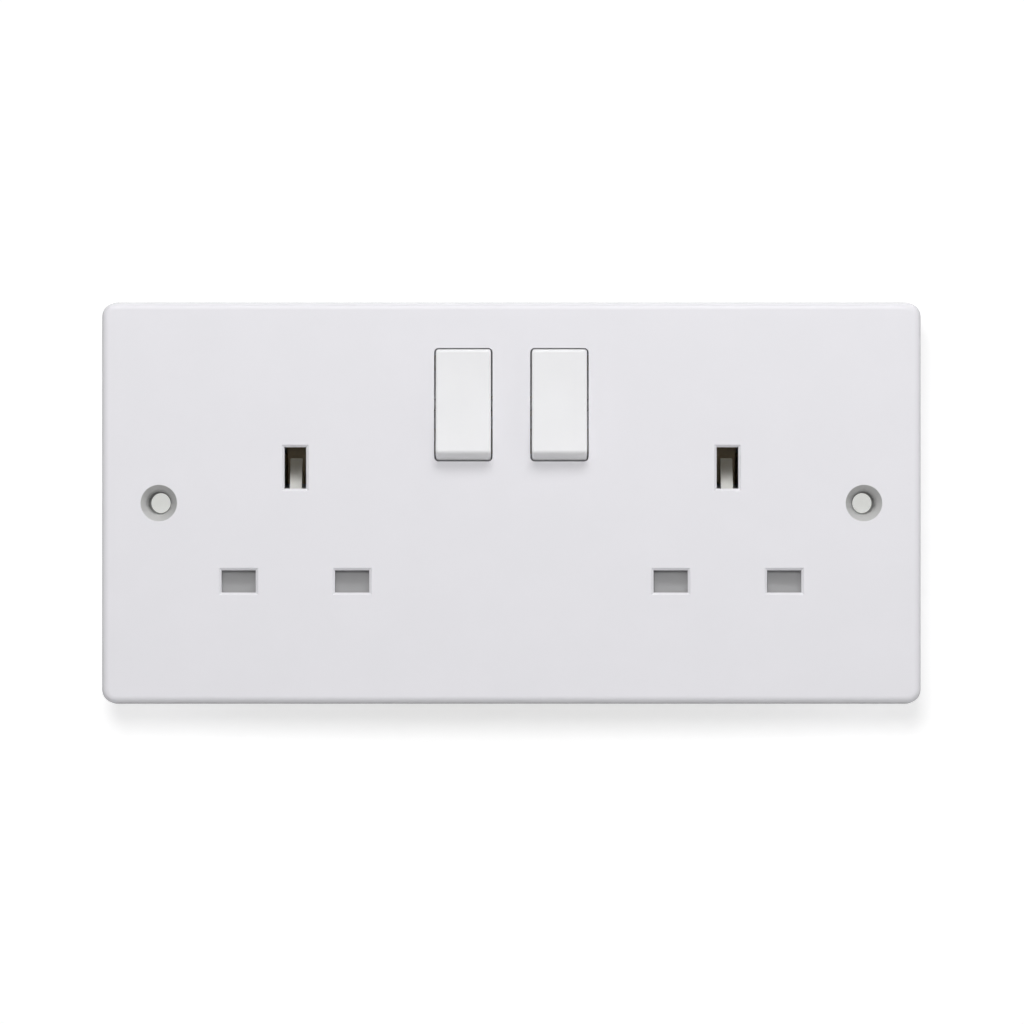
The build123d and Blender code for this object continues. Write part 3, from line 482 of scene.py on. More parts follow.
class Finish(Enum):
    """The finishes on this socket: one for each slot of the record, the painted shade inside the fixing holes
    and aged brass.
    """

    plate_plastic = MouldedPlastic("plate_plastic_look", (0.752, 0.744, 0.776), (0.744, 0.737, 0.768))
    rocker_plastic = RockerPlastic("rocker_plastic_look", (0.768, 0.768, 0.780), (0.75264, 0.75264, 0.7644),
                                   roughness=0.24, mottle_scale=110.0)
    # painted shade: the skin inside the fixing holes is painted darker than the plate, near black at its foot
    hole_plastic = ShadedBore("hole_plastic_look", (0.54, 0.54, 0.535), (0.03, 0.03, 0.022))
    # painted shade: the blank's colours and the deep ramp's colour are shaded copies of the pale foot's
    # plastic
    shutter_plastic = ShutterPlastic("shutter_plastic_look", blank=(0.37, 0.37, 0.373),
                                     blank_top=(0.29, 0.29, 0.293), foot=(0.60, 0.595, 0.565),
                                     grime=(0.25, 0.235, 0.20))
    housing_plastic = MouldedPlastic("housing_plastic_look", (0.70, 0.70, 0.69), (0.685, 0.685, 0.673),
                                     roughness=0.42, roughness_swing=0.1)
    plunger_plastic = MouldedPlastic("plunger_plastic_look", (0.55, 0.53, 0.48), (0.50, 0.48, 0.43), 0.35)
    spring_steel = SheetMetal("spring_steel_look", (0.55, 0.55, 0.56), (0.40, 0.39, 0.38), 0.25)
    plated_steel = SheetMetal("plated_steel_look", (0.66, 0.65, 0.60), (0.50, 0.47, 0.38), 0.3)
    contact_silver = SheetMetal("contact_silver_look", (0.80, 0.79, 0.76), (0.48, 0.44, 0.38), 0.3)
    copper_alloy = SheetMetal("copper_alloy_look", (0.72, 0.42, 0.24), (0.40, 0.22, 0.12), 0.34)
    brass = SheetMetal("brass_look", (0.78, 0.60, 0.28), (0.50, 0.36, 0.16), 0.3)
    aged_brass = SheetMetal("aged_brass_look", (0.68, 0.57, 0.40), (0.54, 0.44, 0.29), 0.42)


class Dresser:
    """Makes each finish once and gives it to nodes and pieces."""

    def __init__(self) -> None:
        """Starts with no finish made."""
        self.made: dict[Finish, bpy.types.Material] = {}

    def material(self, finish: Finish) -> bpy.types.Material:
        """A finish's material, made on first use.

        Args:
            finish: which one.

        Returns:
            The material.
        """
        if finish not in self.made:
            self.made[finish] = finish.value.material()
        return self.made[finish]

    def dress(self, piece: bpy.types.Object, finish: Finish) -> None:
        """Puts one finish on the whole of a piece.

        Args:
            piece: a CAD node or a new piece.
            finish: its finish.
        """
        piece.data.materials.clear()
        piece.data.materials.append(self.material(finish))

    def dress_frame(self) -> None:
        """Dresses every CAD node in its slot's finish, and the metal behind the slots in aged brass."""
        for row in frame["record"]["subparts"]:
            node = row["node"]
            inner = node.endswith(("_contact", "_busbar"))
            finish = Finish.aged_brass if inner else Finish[row["material_slot"]]
            self.dress(frame["nodes"][node], finish)
            LOG.info("dressed %s in %s", node, finish.name)


# Surfaces

@dataclass(frozen=True)
class Skin:
    """Closed surfaces, as points in millimetres and quads."""

    points: np.ndarray
    quads: np.ndarray

    @classmethod
    def stitched(cls, grid: np.ndarray) -> "Skin":
        """Joins a grid whose columns run round a closed ring and whose end rows are poles or rims.

        Quad (i, j) takes the points (i, j), (i, j + 1), (i + 1, j + 1) and (i + 1, j), and the column
        after the last is the first.

        Args:
            grid: points as rows by columns by 3.

        Returns:
            The surface.
        """
        rows, columns = grid.shape[:2]
        i, j = np.meshgrid(np.arange(rows - 1), np.arange(columns), indexing="ij")
        k = (j + 1) % columns
        quads = np.stack([i * columns + j, i * columns + k, (i + 1) * columns + k, (i + 1) * columns + j], -1)
        return cls(grid.reshape(-1, 3), quads.reshape(-1, 4))

    def beside(self, *others: "Skin") -> "Skin":
        """This surface and others as one.

        Args:
            others: the surfaces to add.

        Returns:
            All of them.
        """
        every = (self, *others)
        starts = np.cumsum([0] + [len(s.points) for s in every[:-1]])
        return Skin(np.concatenate([s.points for s in every]),
                    np.concatenate([s.quads + start for s, start in zip(every, starts)]))

    def at(self, place: Sequence[float]) -> "Skin":
        """The surface moved by a vector."""
        return Skin(self.points + np.asarray(place), self.quads)

    def tipped(self, degrees: float) -> "Skin":
        """The surface turned about the X axis.

        Args:
            degrees: the turn, which takes +Y towards +Z.

        Returns:
            The turned surface.
        """
        c, s = cos(radians(degrees)), sin(radians(degrees))
        return Skin(self.points @ np.array([(1.0, 0.0, 0.0), (0.0, c, s), (0.0, -s, c)]), self.quads)

    def along(self, axis: str) -> "Skin":
        """A surface made about +Y, laid along another axis by swapping coordinates.

        Args:
            axis: "X" or "Z" for the new axis.

        Returns:
            The surface about that axis.
        """
        order = {"X": [1, 2, 0], "Z": [2, 0, 1]}[axis]
        return Skin(self.points[:, order], self.quads)


def turned(profile: Sequence[tuple[float, float]], columns: int = 48) -> Skin:
    """A profile carried round the Y axis: point (r, y) at angle a goes to (r cos a, y, r sin a).

    Args:
        profile: (radius, y) points from one pole, or rim, to the other.
        columns: points round the axis.

    Returns:
        The surface of revolution.
    """
    r, y = np.array(profile, float).T
    a = np.arange(columns) * 2.0 * pi / columns
    return Skin.stitched(np.stack([np.outer(r, np.cos(a)), np.outer(y, np.ones(columns)),
                                   np.outer(r, np.sin(a))], -1))


class Workshop:
    """Makes pieces from skins, dresses them and hangs them on their nodes' bodies."""

    sharp_degrees = 35.0
    merge_distance = 1e-7

    def __init__(self, dresser: Dresser) -> None:
        """Keeps the dresser."""
        self.dresser = dresser

    def piece(self, name: str, skin: Skin, finish: Finish, node: str,
              stands_for: bool = True) -> bpy.types.Object:
        """Makes one piece: the skin is scaled to metres, its doubles merge and its faces turn outward.

        Args:
            name: the piece's name.
            skin: its surface in millimetres.
            finish: its finish.
            node: the CAD node whose body it rides on.
            stands_for: whether it replaces that node.

        Returns:
            The piece.
        """
        mesh = bpy.data.meshes.new(name)
        mesh.from_pydata((skin.points * MM).tolist(), [], skin.quads.tolist())
        shape = bmesh.new()
        shape.from_mesh(mesh)
        bmesh.ops.remove_doubles(shape, verts=shape.verts, dist=self.merge_distance)
        bmesh.ops.recalc_face_normals(shape, faces=shape.faces)
        shape.to_mesh(mesh)
        shape.free()
        mesh.polygons.foreach_set("use_smooth", np.ones(len(mesh.polygons), bool))
        mesh.set_sharp_from_angle(angle=radians(self.sharp_degrees))
        piece = bpy.data.objects.new(name, mesh)
        bpy.context.scene.collection.objects.link(piece)
        self.dresser.dress(piece, finish)
        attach(piece, body_of(frame["nodes"][node])[0])
        if stands_for:
            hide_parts(node)
        LOG.info("made %s: %d points, %d faces", name, len(mesh.vertices), len(mesh.polygons))
        return piece

    @staticmethod
    def _slot(node: str) -> str:
        """The record's material slot of a node."""
        return next(row["material_slot"] for row in frame["record"]["subparts"] if row["node"] == node)


# The switch

@dataclass(frozen=True)
class SwitchPlace:
    """Where the two rockers hinge, in millimetres, and how far they are tipped at OFF."""

    spacing: float = 18.8
    pivot: tuple[float, float] = (-6.3, 19.25)
    off_degrees: float = -7.5

    def centre(self, way: int) -> tuple[float, float, float]:
        """The pivot on one side: way is -1 for the left and 1 for the right."""
        return (way * self.spacing / 2.0, *self.pivot)

    def fitted(self, skin: Skin, way: int) -> Skin:
        """A skin made about the pivot, tipped to OFF and moved to its side."""
        return skin.tipped(self.off_degrees).at(self.centre(way))


@dataclass(frozen=True)
class SwitchRocker:
    """A dished rocker with rounded edges, its boss and its trunnions, in millimetres about its pivot.

    boss is its radius and its bore's, and trunnion a pin's radius and reach. outline_points counts the points
    of a long side, a short side and a corner, and rings the rings over the front, the edge, the wall and the
    inside.
    """

    side: str
    way: int
    place: SwitchPlace = SwitchPlace()
    half_width: float = 5.43
    end_radius: float = 11.272
    front: float = -5.0
    dish: float = 0.5
    back: float = 3.0
    corner: float = 0.62
    brow_corner: float = 0.25
    inner_corner: float = 0.3
    edge: float = 0.5
    wall: float = 1.3
    front_wall: float = 1.6
    boss: tuple[float, float] = (2.7, 1.55)
    trunnion: tuple[float, float] = (1.2, 7.01)
    boss_end: float = 7.504
    boss_root: float = 1.6
    chamfer: float = 0.2
    bore_chamfer: float = 0.15
    outline_points: tuple[int, int, int] = (40, 16, 11)
    rings: tuple[int, int, int, int] = (22, 7, 12, 10)
    ceiling_shares: tuple[float, ...] = (0.8, 0.55, 0.3, 0.0)
    trunnion_columns: int = 32

    def build(self, workshop: Workshop) -> bpy.types.Object:
        """Makes the rocker.

        Args:
            workshop: makes the piece.

        Returns:
            The piece.
        """
        skin = self._shell().beside(self._boss(), *self._trunnions())
        name = f"{self.side}_rocker"
        return workshop.piece(f"{name}_moulding", self.place.fitted(skin, self.way),
                              Finish.rocker_plastic, name)

    def _face(self, z: np.ndarray) -> np.ndarray:
        """The dished front, on a circle through both front edges and the dish's middle.

        Args:
            z: heights from the pivot.

        Returns:
            The front's y at each height.
        """
        half = np.sqrt(self.end_radius ** 2 - self.front ** 2)
        bend = (half ** 2 + self.dish ** 2) / (2.0 * self.dish)
        return self.front + self.dish - bend + np.sqrt(bend ** 2 - z ** 2)

    def _outline(self) -> tuple[np.ndarray, np.ndarray]:
        """A rounded rectangle's pattern, from the right side's foot round to its start.

        Each column has a share (p, q) of the core rectangle's half sizes and a direction (n, m) in which the
        corner radius is added. Sides have a fixed direction and a running share, and corners the reverse.

        Returns:
            The shares and the directions, each columns by 2.
        """
        long, short, turn = (np.linspace(start, 1, count)[:-1]
                             for start, count in zip((-1, -1, 0), self.outline_points))
        shares, ways = [], []
        for quarter, run in enumerate((long, short, long, short)):
            start = quarter * pi / 2.0
            along = np.array([-sin(start), cos(start)])
            out = np.array([cos(start), sin(start)])
            shares.append(out + np.outer(run, along))
            ways.append(np.tile(out, (len(run), 1)))
            shares.append(np.tile(out + along, (len(turn), 1)))
            angle = start + turn * pi / 2.0
            ways.append(np.stack([np.cos(angle), np.sin(angle)], -1))
        return np.concatenate(shares), np.concatenate(ways)

    def _ring(self, inset: float, behind: float, share: float, radius: float, corner: float) -> np.ndarray:
        """One ring of the shell.

        Its depth is the front's depth at each column plus behind, moved by share towards the back, and its
        half height is the height of the end arc at that depth, less the inset. The two depend on each
        other, so they are worked out together in four rounds.

        Args:
            inset: distance in from the outline.
            behind: distance behind the front.
            share: 0 at the front and 1 at the back.
            radius: of the end arcs about the pivot.
            corner: of the outline's corners.

        Returns:
            Its points.
        """
        shares, ways = self._outline()
        width = self.half_width - inset
        depth = np.full(len(shares), self.front)
        for _ in range(4):
            height = np.sqrt(radius ** 2 - depth ** 2) - inset
            z = shares[:, 1] * (height - corner) + ways[:, 1] * corner
            depth = (1.0 - share) * (self._face(z) + behind) + share * self.back
        return np.stack([shares[:, 0] * (width - corner) + ways[:, 0] * corner, depth, z], -1)

    def _shell(self) -> Skin:
        """The moulding's wall as one grid of rings.

        They run from the front's middle over the edge, down the walls, round the rim and up the inside.

        Returns:
            The surface.
        """
        rows = []
        face_rings, edge_rings, wall_rings, inner_rings = self.rings
        brow = self._ring(self.edge, 0.0, 0.0, self.end_radius, self.brow_corner)
        for f in np.sin(np.linspace(0.0, pi / 2.0, face_rings))[:-1]:
            shrunk = brow * (f, 1.0, f)
            shrunk[:, 1] = self._face(shrunk[:, 2])
            rows.append(shrunk)
        for a in np.linspace(pi / 2.0, 0.0, edge_rings):
            inset, behind = self.edge * (1.0 - cos(a)), self.edge * (1.0 - sin(a))
            tighter = (self.corner - self.brow_corner) * (1.0 - cos(a))
            rows.append(self._ring(inset, behind, 0.0, self.end_radius, self.corner - tighter))
        for share in np.linspace(0.0, 1.0, wall_rings)[1:]:
            rows.append(self._ring(0.0, self.edge, share, self.end_radius, self.corner))
        inside = self.end_radius - self.wall
        for share in np.linspace(1.0, 0.0, inner_rings):
            ring = self._ring(0.0, self.front_wall, share, inside, self.inner_corner)
            ring[:, 0] *= (self.half_width - self.wall) / self.half_width
            rows.append(ring)
        ceiling = rows[-1]
        for f in self.ceiling_shares:
            shrunk = ceiling * (f, 1.0, f)
            shrunk[:, 1] = self._face(shrunk[:, 2]) + self.front_wall
            rows.append(shrunk)
        return Skin.stitched(np.stack(rows))

    def _boss(self) -> Skin:
        """The round boss behind the front, bored for the plunger: a profile turned about Y.

        Returns:
            The boss.
        """
        (radius, bore), end = self.boss, self.boss_end
        root = self.front + self.dish + self.front_wall / 2.0
        floor = self.front + self.dish + self.front_wall + self.boss_root
        outer = [(0, root), (radius, root), (radius, end - self.chamfer), (radius - self.chamfer, end)]
        inner = [(bore + self.bore_chamfer, end), (bore, end - self.bore_chamfer), (bore, floor), (0, floor)]
        return turned(outer + inner)

    def _trunnions(self) -> list[Skin]:
        """A pin at each side with a chamfered end: a profile turned about X.

        Returns:
            The right pin and the left one.
        """
        radius, tip = self.trunnion
        root = self.half_width - self.wall
        outline = [(0, root), (radius, root), (radius, tip - self.chamfer), (radius - self.chamfer, tip),
                   (0, tip)]
        return [turned([(r, way * x) for r, x in outline], self.trunnion_columns).along("X")
                for way in (1, -1)]


@dataclass(frozen=True)
class CoilSpring:
    """A compression spring of round wire with closed ends, in millimetres, standing on y = 0 along +Y."""

    outer: float
    wire: float
    active: float
    length: float
    dead: float = 1.0
    closed_pitch: float = 0.25
    open_pitch: float = 3.0
    ground: float = 0.03
    steps: int = 28
    sides: int = 10

    def skin(self) -> Skin:
        """The wire's surface.

        The axis point at turn t is (R cos 2 pi t, h(t), R sin 2 pi t). h climbs slowly over the dead turns
        at the ends and evenly between, as the running sum of a pitch that swells by a sine. A ring about it
        is c + w (N cos b + B sin b), where N points at the spring's axis and B is the tangent turned by N.
        The wire is ground flat where it passes the spring's ends, and closes in a point at both.

        Returns:
            The surface.
        """
        turns = self.active + 2.0 * self.dead
        t = np.linspace(0.0, turns, int(turns * self.steps) + 1)
        near = np.clip(np.minimum(t, turns - t) / self.dead, 0.0, 1.0)
        pitch = self.closed_pitch + np.sin(near * pi / 2.0) ** 4 * self.open_pitch
        climb = np.concatenate([[0.0], np.cumsum((pitch[1:] + pitch[:-1]) / 2.0)])
        radius = self.outer - self.wire / 2.0
        height = climb / climb[-1] * (self.length - self.wire) + self.wire / 2.0
        a = 2.0 * pi * t
        centre = np.stack([radius * np.cos(a), height, radius * np.sin(a)], -1)
        inward = np.stack([-np.cos(a), np.zeros_like(a), -np.sin(a)], -1)
        tangent = np.gradient(centre, axis=0)
        tangent /= np.linalg.norm(tangent, axis=1, keepdims=True)
        side = np.cross(tangent, inward)
        b = np.arange(self.sides) * 2.0 * pi / self.sides
        ring = inward[:, None] * np.cos(b)[None, :, None] + side[:, None] * np.sin(b)[None, :, None]
        tube = centre[:, None] + ring * self.wire / 2.0
        caps = [np.repeat(centre[i:i + 1, None], self.sides, 1) for i in (0, -1)]
        grid = np.concatenate([caps[0], tube, caps[1]])
        grid[..., 1] = np.clip(grid[..., 1], self.ground, self.length - self.ground)
        return Skin.stitched(grid)


@dataclass(frozen=True)
class SpringSet:
    """The four springs: one behind each plunger and one under each shutter."""

    place: SwitchPlace = SwitchPlace()
    bore_floor: float = -1.3
    plunger_coil: CoilSpring = CoilSpring(outer=1.3, wire=0.35, active=4.0, length=6.264)
    plunger_keep: float = 0.904
    socket_spacing: float = 84.6
    foot: tuple[float, float] = (-4.65, -31.2)
    shutter_coil: CoilSpring = CoilSpring(outer=1.9, wire=0.45, active=6.0, length=12.375)
    shutter_keep: float = 0.519

    def build(self, workshop: Workshop) -> list[bpy.types.Object]:
        """Makes the springs.

        Args:
            workshop: makes the pieces.

        Returns:
            The pieces.
        """
        made = []
        for side, way in SIDES:
            small = self.plunger_coil.skin().at((0.0, self.bore_floor, 0.0))
            coil = workshop.piece(f"{side}_plunger_coil", self.place.fitted(small, way),
                                  Finish.spring_steel, f"{side}_plunger_spring")
            made.append(self._gives(coil, f"{side}_plunger_slide", self.place.off_degrees,
                                    self._bore_end(way), self.plunger_keep))
            seat = (way * self.socket_spacing / 2.0, *self.foot)
            coil = workshop.piece(f"{side}_shutter_coil", self.shutter_coil.skin().along("Z").at(seat),
                                  Finish.spring_steel, f"{side}_shutter_spring")
            made.append(self._gives(coil, f"{side}_shutter_slide", 90.0, seat, self.shutter_keep))
        return made

    def _bore_end(self, way: int) -> tuple[float, float, float]:
        """The closed end of a plunger's bore, from the pivot along the tilted rocker.

        Args:
            way: -1 for the left and 1 for the right.

        Returns:
            The point in millimetres.
        """
        tilt = radians(self.place.off_degrees)
        x, y, z = self.place.centre(way)
        return (x, y + self.bore_floor * cos(tilt), z + self.bore_floor * sin(tilt))

    @staticmethod
    def _gives(coil: bpy.types.Object, joint: str, rise: float, seat: Sequence[float],
               keep: float) -> bpy.types.Object:
        """Lets a spring shorten towards its fixed end as its joint moves.

        Args:
            coil: the spring.
            joint: the joint that presses it; not used.
            rise: the angle of its axis above +Y, in degrees; not used.
            seat: its fixed end in millimetres; not used.
            keep: the share of its length that is left at the joint's limit; not used.

        Returns:
            The spring.
        """
        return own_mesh(coil)


# Fasteners

class Recess(Enum):
    """The recess in a screw's head."""

    SLOT = "slot"
    CROSS = "cross"


@dataclass(frozen=True)
class MachineScrew:
    """A threaded screw along +Y with its head at the far end, in millimetres from its tip."""

    major: float
    core: float
    pitch: float
    length: float
    head: float
    head_height: float
    recess: Recess
    point: float = 0.8
    point_share: float = 0.55
    crest: float = 1.25
    flank: float = 2.9
    chamfer: float = 0.15
    dome_share: float = 0.38
    recess_width: float = 0.8
    recess_length: float = 2.8
    recess_depth: float = 1.0
    recess_slope: float = 0.14
    columns: int = 64
    rows_per_pitch: int = 8
    dome_rings: int = 6
    top_rings: int = 26

    def skin(self) -> Skin:
        """The screw's surface as one grid, from the tip's pole to the middle of the head's top.

        On the shank the radius is core + (major - core) * ridge(y / pitch - a / 2 pi), where ridge rises and
        falls as a clipped saw once each pitch. It shrinks over the point and runs out under the head. On the
        head's top the height drops by the recess's depth where a soft mask of the slot or cross is 1.

        Returns:
            The surface.
        """
        a = np.arange(self.columns) * 2.0 * pi / self.columns
        y = np.linspace(0.0, self.length, int(self.length / self.pitch * self.rows_per_pitch) + 1)
        saw = (y[:, None] / self.pitch - a[None, :] / (2.0 * pi)) % 1.0
        ridge = np.clip(self.crest - self.flank * np.abs(saw - 0.5), 0.0, 1.0)
        runout = np.clip((self.length - y) / (2.0 * self.pitch), 0.0, 1.0)[:, None]
        point = np.clip(y / self.point, 0.0, 1.0)[:, None]
        taper = point * (1.0 - self.point_share) + self.point_share
        radius = (self.core + (self.major - self.core) * ridge * runout) * taper
        shank = self._rows(radius, y[:, None], a)
        tip = self._rows(0.0, 0.0, a)
        dome = self.head_height * self.dome_share
        brow = self.head_height - dome
        side = [(self.head - self.chamfer, 0.0), (self.head, self.chamfer), (self.head, brow)]
        side += [(self.head - dome * (1.0 - cos(b)), brow + dome * sin(b))
                 for b in np.linspace(0.0, pi / 2.0, self.dome_rings)[1:]]
        r, h = np.array(side).T
        cheek = self._rows(r[:, None], (self.length + h)[:, None], a)
        top_r = np.linspace(side[-1][0], 0.0, self.top_rings)[1:, None]
        sunk = self.recess_depth * self._mask(top_r * np.cos(a), top_r * np.sin(a))
        top = self._rows(top_r, self.length + self.head_height - sunk, a)
        return Skin.stitched(np.concatenate([tip, shank, cheek, top]))

    @staticmethod
    def _rows(radius: Union[float, np.ndarray], height: Union[float, np.ndarray],
              angle: np.ndarray) -> np.ndarray:
        """Rings of points (r cos a, y, r sin a), with a row for each radius or height."""
        r, y, a = np.atleast_2d(*np.broadcast_arrays(radius, height, angle))
        return np.stack([r * np.cos(a), y, r * np.sin(a)], -1)

    def _mask(self, x: np.ndarray, z: np.ndarray) -> np.ndarray:
        """1 inside the recess, falling to 0 over its slope at the sides and ends.

        Args:
            x: across the head.
            z: along the head.

        Returns:
            The mask.
        """
        def within(length: float, distance: np.ndarray) -> np.ndarray:
            """1 within half a length of the middle, and 0 past the slope."""
            return np.clip((length / 2.0 - np.abs(distance)) / self.recess_slope + 0.5, 0.0, 1.0)

        def arm(across: np.ndarray, along: np.ndarray) -> np.ndarray:
            """One straight arm of the recess."""
            return within(self.recess_width, across) * within(self.recess_length, along)

        if self.recess is Recess.SLOT:
            return arm(z, x)
        return np.maximum(arm(z, x), arm(x, z))


@dataclass(frozen=True)
class ScrewSet:
    """Equal screws that stand for one node, with their tips at one depth, in millimetres."""

    node: str
    screw: MachineScrew
    tip_y: float
    places: tuple[tuple[float, float], ...]

    def build(self, workshop: Workshop) -> bpy.types.Object:
        """Makes all the screws as one piece, as their node is.

        Args:
            workshop: makes the piece.

        Returns:
            The piece.
        """
        skin = self.screw.skin()
        first, *rest = [skin.at((x, self.tip_y, z)) for x, z in self.places]
        return workshop.piece(f"{self.node}_threaded", first.beside(*rest), Finish.plated_steel, self.node)


@dataclass(frozen=True)
class RivetSet:
    """Rivets with domed heads that hold the neutral and earth jaws on their bars, in millimetres."""

    shank: float = 0.8
    head: float = 1.4
    dome: float = 0.4
    neutral: tuple[float, float] = (10.4, 12.2)
    earth: tuple[float, float] = (13.4, 15.2)
    neutral_x: tuple[float, float] = (-53.415, 31.185)
    earth_x: tuple[float, float] = (-42.3, 42.3)
    neutral_z: float = -15.35
    earth_z: float = 12.38
    columns: int = 32
    dome_rings: int = 8

    def build(self, workshop: Workshop) -> bpy.types.Object:
        """Makes the four rivets as one piece.

        Args:
            workshop: makes the piece.

        Returns:
            The piece.
        """
        rivets = [self._rivet(*self.neutral).at((x, 0.0, self.neutral_z)) for x in self.neutral_x]
        rivets += [self._rivet(*self.earth).at((x, 0.0, self.earth_z)) for x in self.earth_x]
        return workshop.piece("domed_rivets", rivets[0].beside(*rivets[1:]), Finish.copper_alloy,
                              "contact_rivets")

    def _rivet(self, front: float, back: float) -> Skin:
        """One rivet: each head is a quarter ellipse turned about Y, and the shank joins their flat sides.

        Args:
            front: the y of the front head's flat side.
            back: the y of the back head's flat side.

        Returns:
            The rivet.
        """
        bend = np.linspace(0.0, pi / 2.0, self.dome_rings)
        near = [(self.head * sin(b), front - self.dome * cos(b)) for b in bend]
        far = [(self.head * cos(b), back + self.dome * sin(b)) for b in bend]
        return turned(near + [(self.shank, front), (self.shank, back)] + far, self.columns)


# The plate's fixing holes

@dataclass(frozen=True)
class FixingHoleShadeSkin:
    """The smooth skin inside both fixing holes that carries their painted shade, in millimetres. It lies just
    inside the moulding.
    """

    spacing: float = 138.0
    clear: float = 0.04
    depth: float = 0.35
    lip: float = 0.02
    wall: tuple[tuple[float, float], ...] = ((3.6, -9.5), (2.6, -7.7), (2.0, -3.3), (2.0, -0.35))
    steps: int = 12
    columns: int = 96

    def build(self, workshop: Workshop) -> bpy.types.Object:
        """Makes the linings.

        Args:
            workshop: makes the piece.

        Returns:
            The piece.
        """
        shade_skin, half = self._lining(), self.spacing / 2.0
        both = shade_skin.at((-half, 0.0, 0.0)).beside(shade_skin.at((half, 0.0, 0.0)))
        return workshop.piece("fixing_hole_shade_skins", both, Finish.hole_plastic, "front_plate",
                              stands_for=False)

    def _lining(self) -> Skin:
        """The hole's profile, sampled evenly and offset inward, then back along the same line further out.

        Returns:
            The closed skin, turned about Y.
        """
        r, y = np.array(self.wall).T
        knots = np.arange(len(r))
        t = np.linspace(0.0, len(r) - 1.0, (len(r) - 1) * self.steps + 1)
        near_r, near_y = np.interp(t, knots, r) - self.clear, np.interp(t, knots, y)
        near_y[0] += self.clear
        far_r, far_y = near_r[::-1] + self.depth, near_y[::-1]
        far_y = np.maximum(far_y, near_y[0] + self.lip)
        ring = list(zip(near_r, near_y)) + list(zip(far_r, far_y)) + [(near_r[0], near_y[0])]
        return turned(ring, self.columns)


# The studio

@dataclass(frozen=True)
class Softbox:
    """A rectangular lamp that faces the frame's origin. share is the light that a plate there gives back."""

    name: str
    azimuth: float
    elevation: float
    distance: float
    width: float
    height: float
    share: float
    faces_back: bool = False
    spares_wall: bool = False

    def build(self) -> bpy.types.Object:
        """Makes the lamp. A diffuse plate at the origin returns power * cos / (2 * distance)^2 / pi.

        Returns:
            The lamp's object.
        """
        turn, rise = radians(self.azimuth), radians(self.elevation)
        way = -1.0 if self.faces_back else 1.0
        towards = Vector((sin(turn) * cos(rise), -way * cos(turn) * cos(rise), sin(rise)))
        lamp = bpy.data.lights.new(self.name, "AREA")
        lamp.shape = "RECTANGLE"
        lamp.size, lamp.size_y = self.width, self.height
        lamp.energy = self.share * 4.0 * pi * self.distance ** 2 / abs(towards.y)
        piece = bpy.data.objects.new(self.name, lamp)
        piece.location = towards * self.distance
        piece.rotation_mode = "QUATERNION"
        piece.rotation_quaternion = towards.to_track_quat("Z", "Y")
        piece.visible_glossy = False
        bpy.context.scene.collection.objects.link(piece)
        return piece


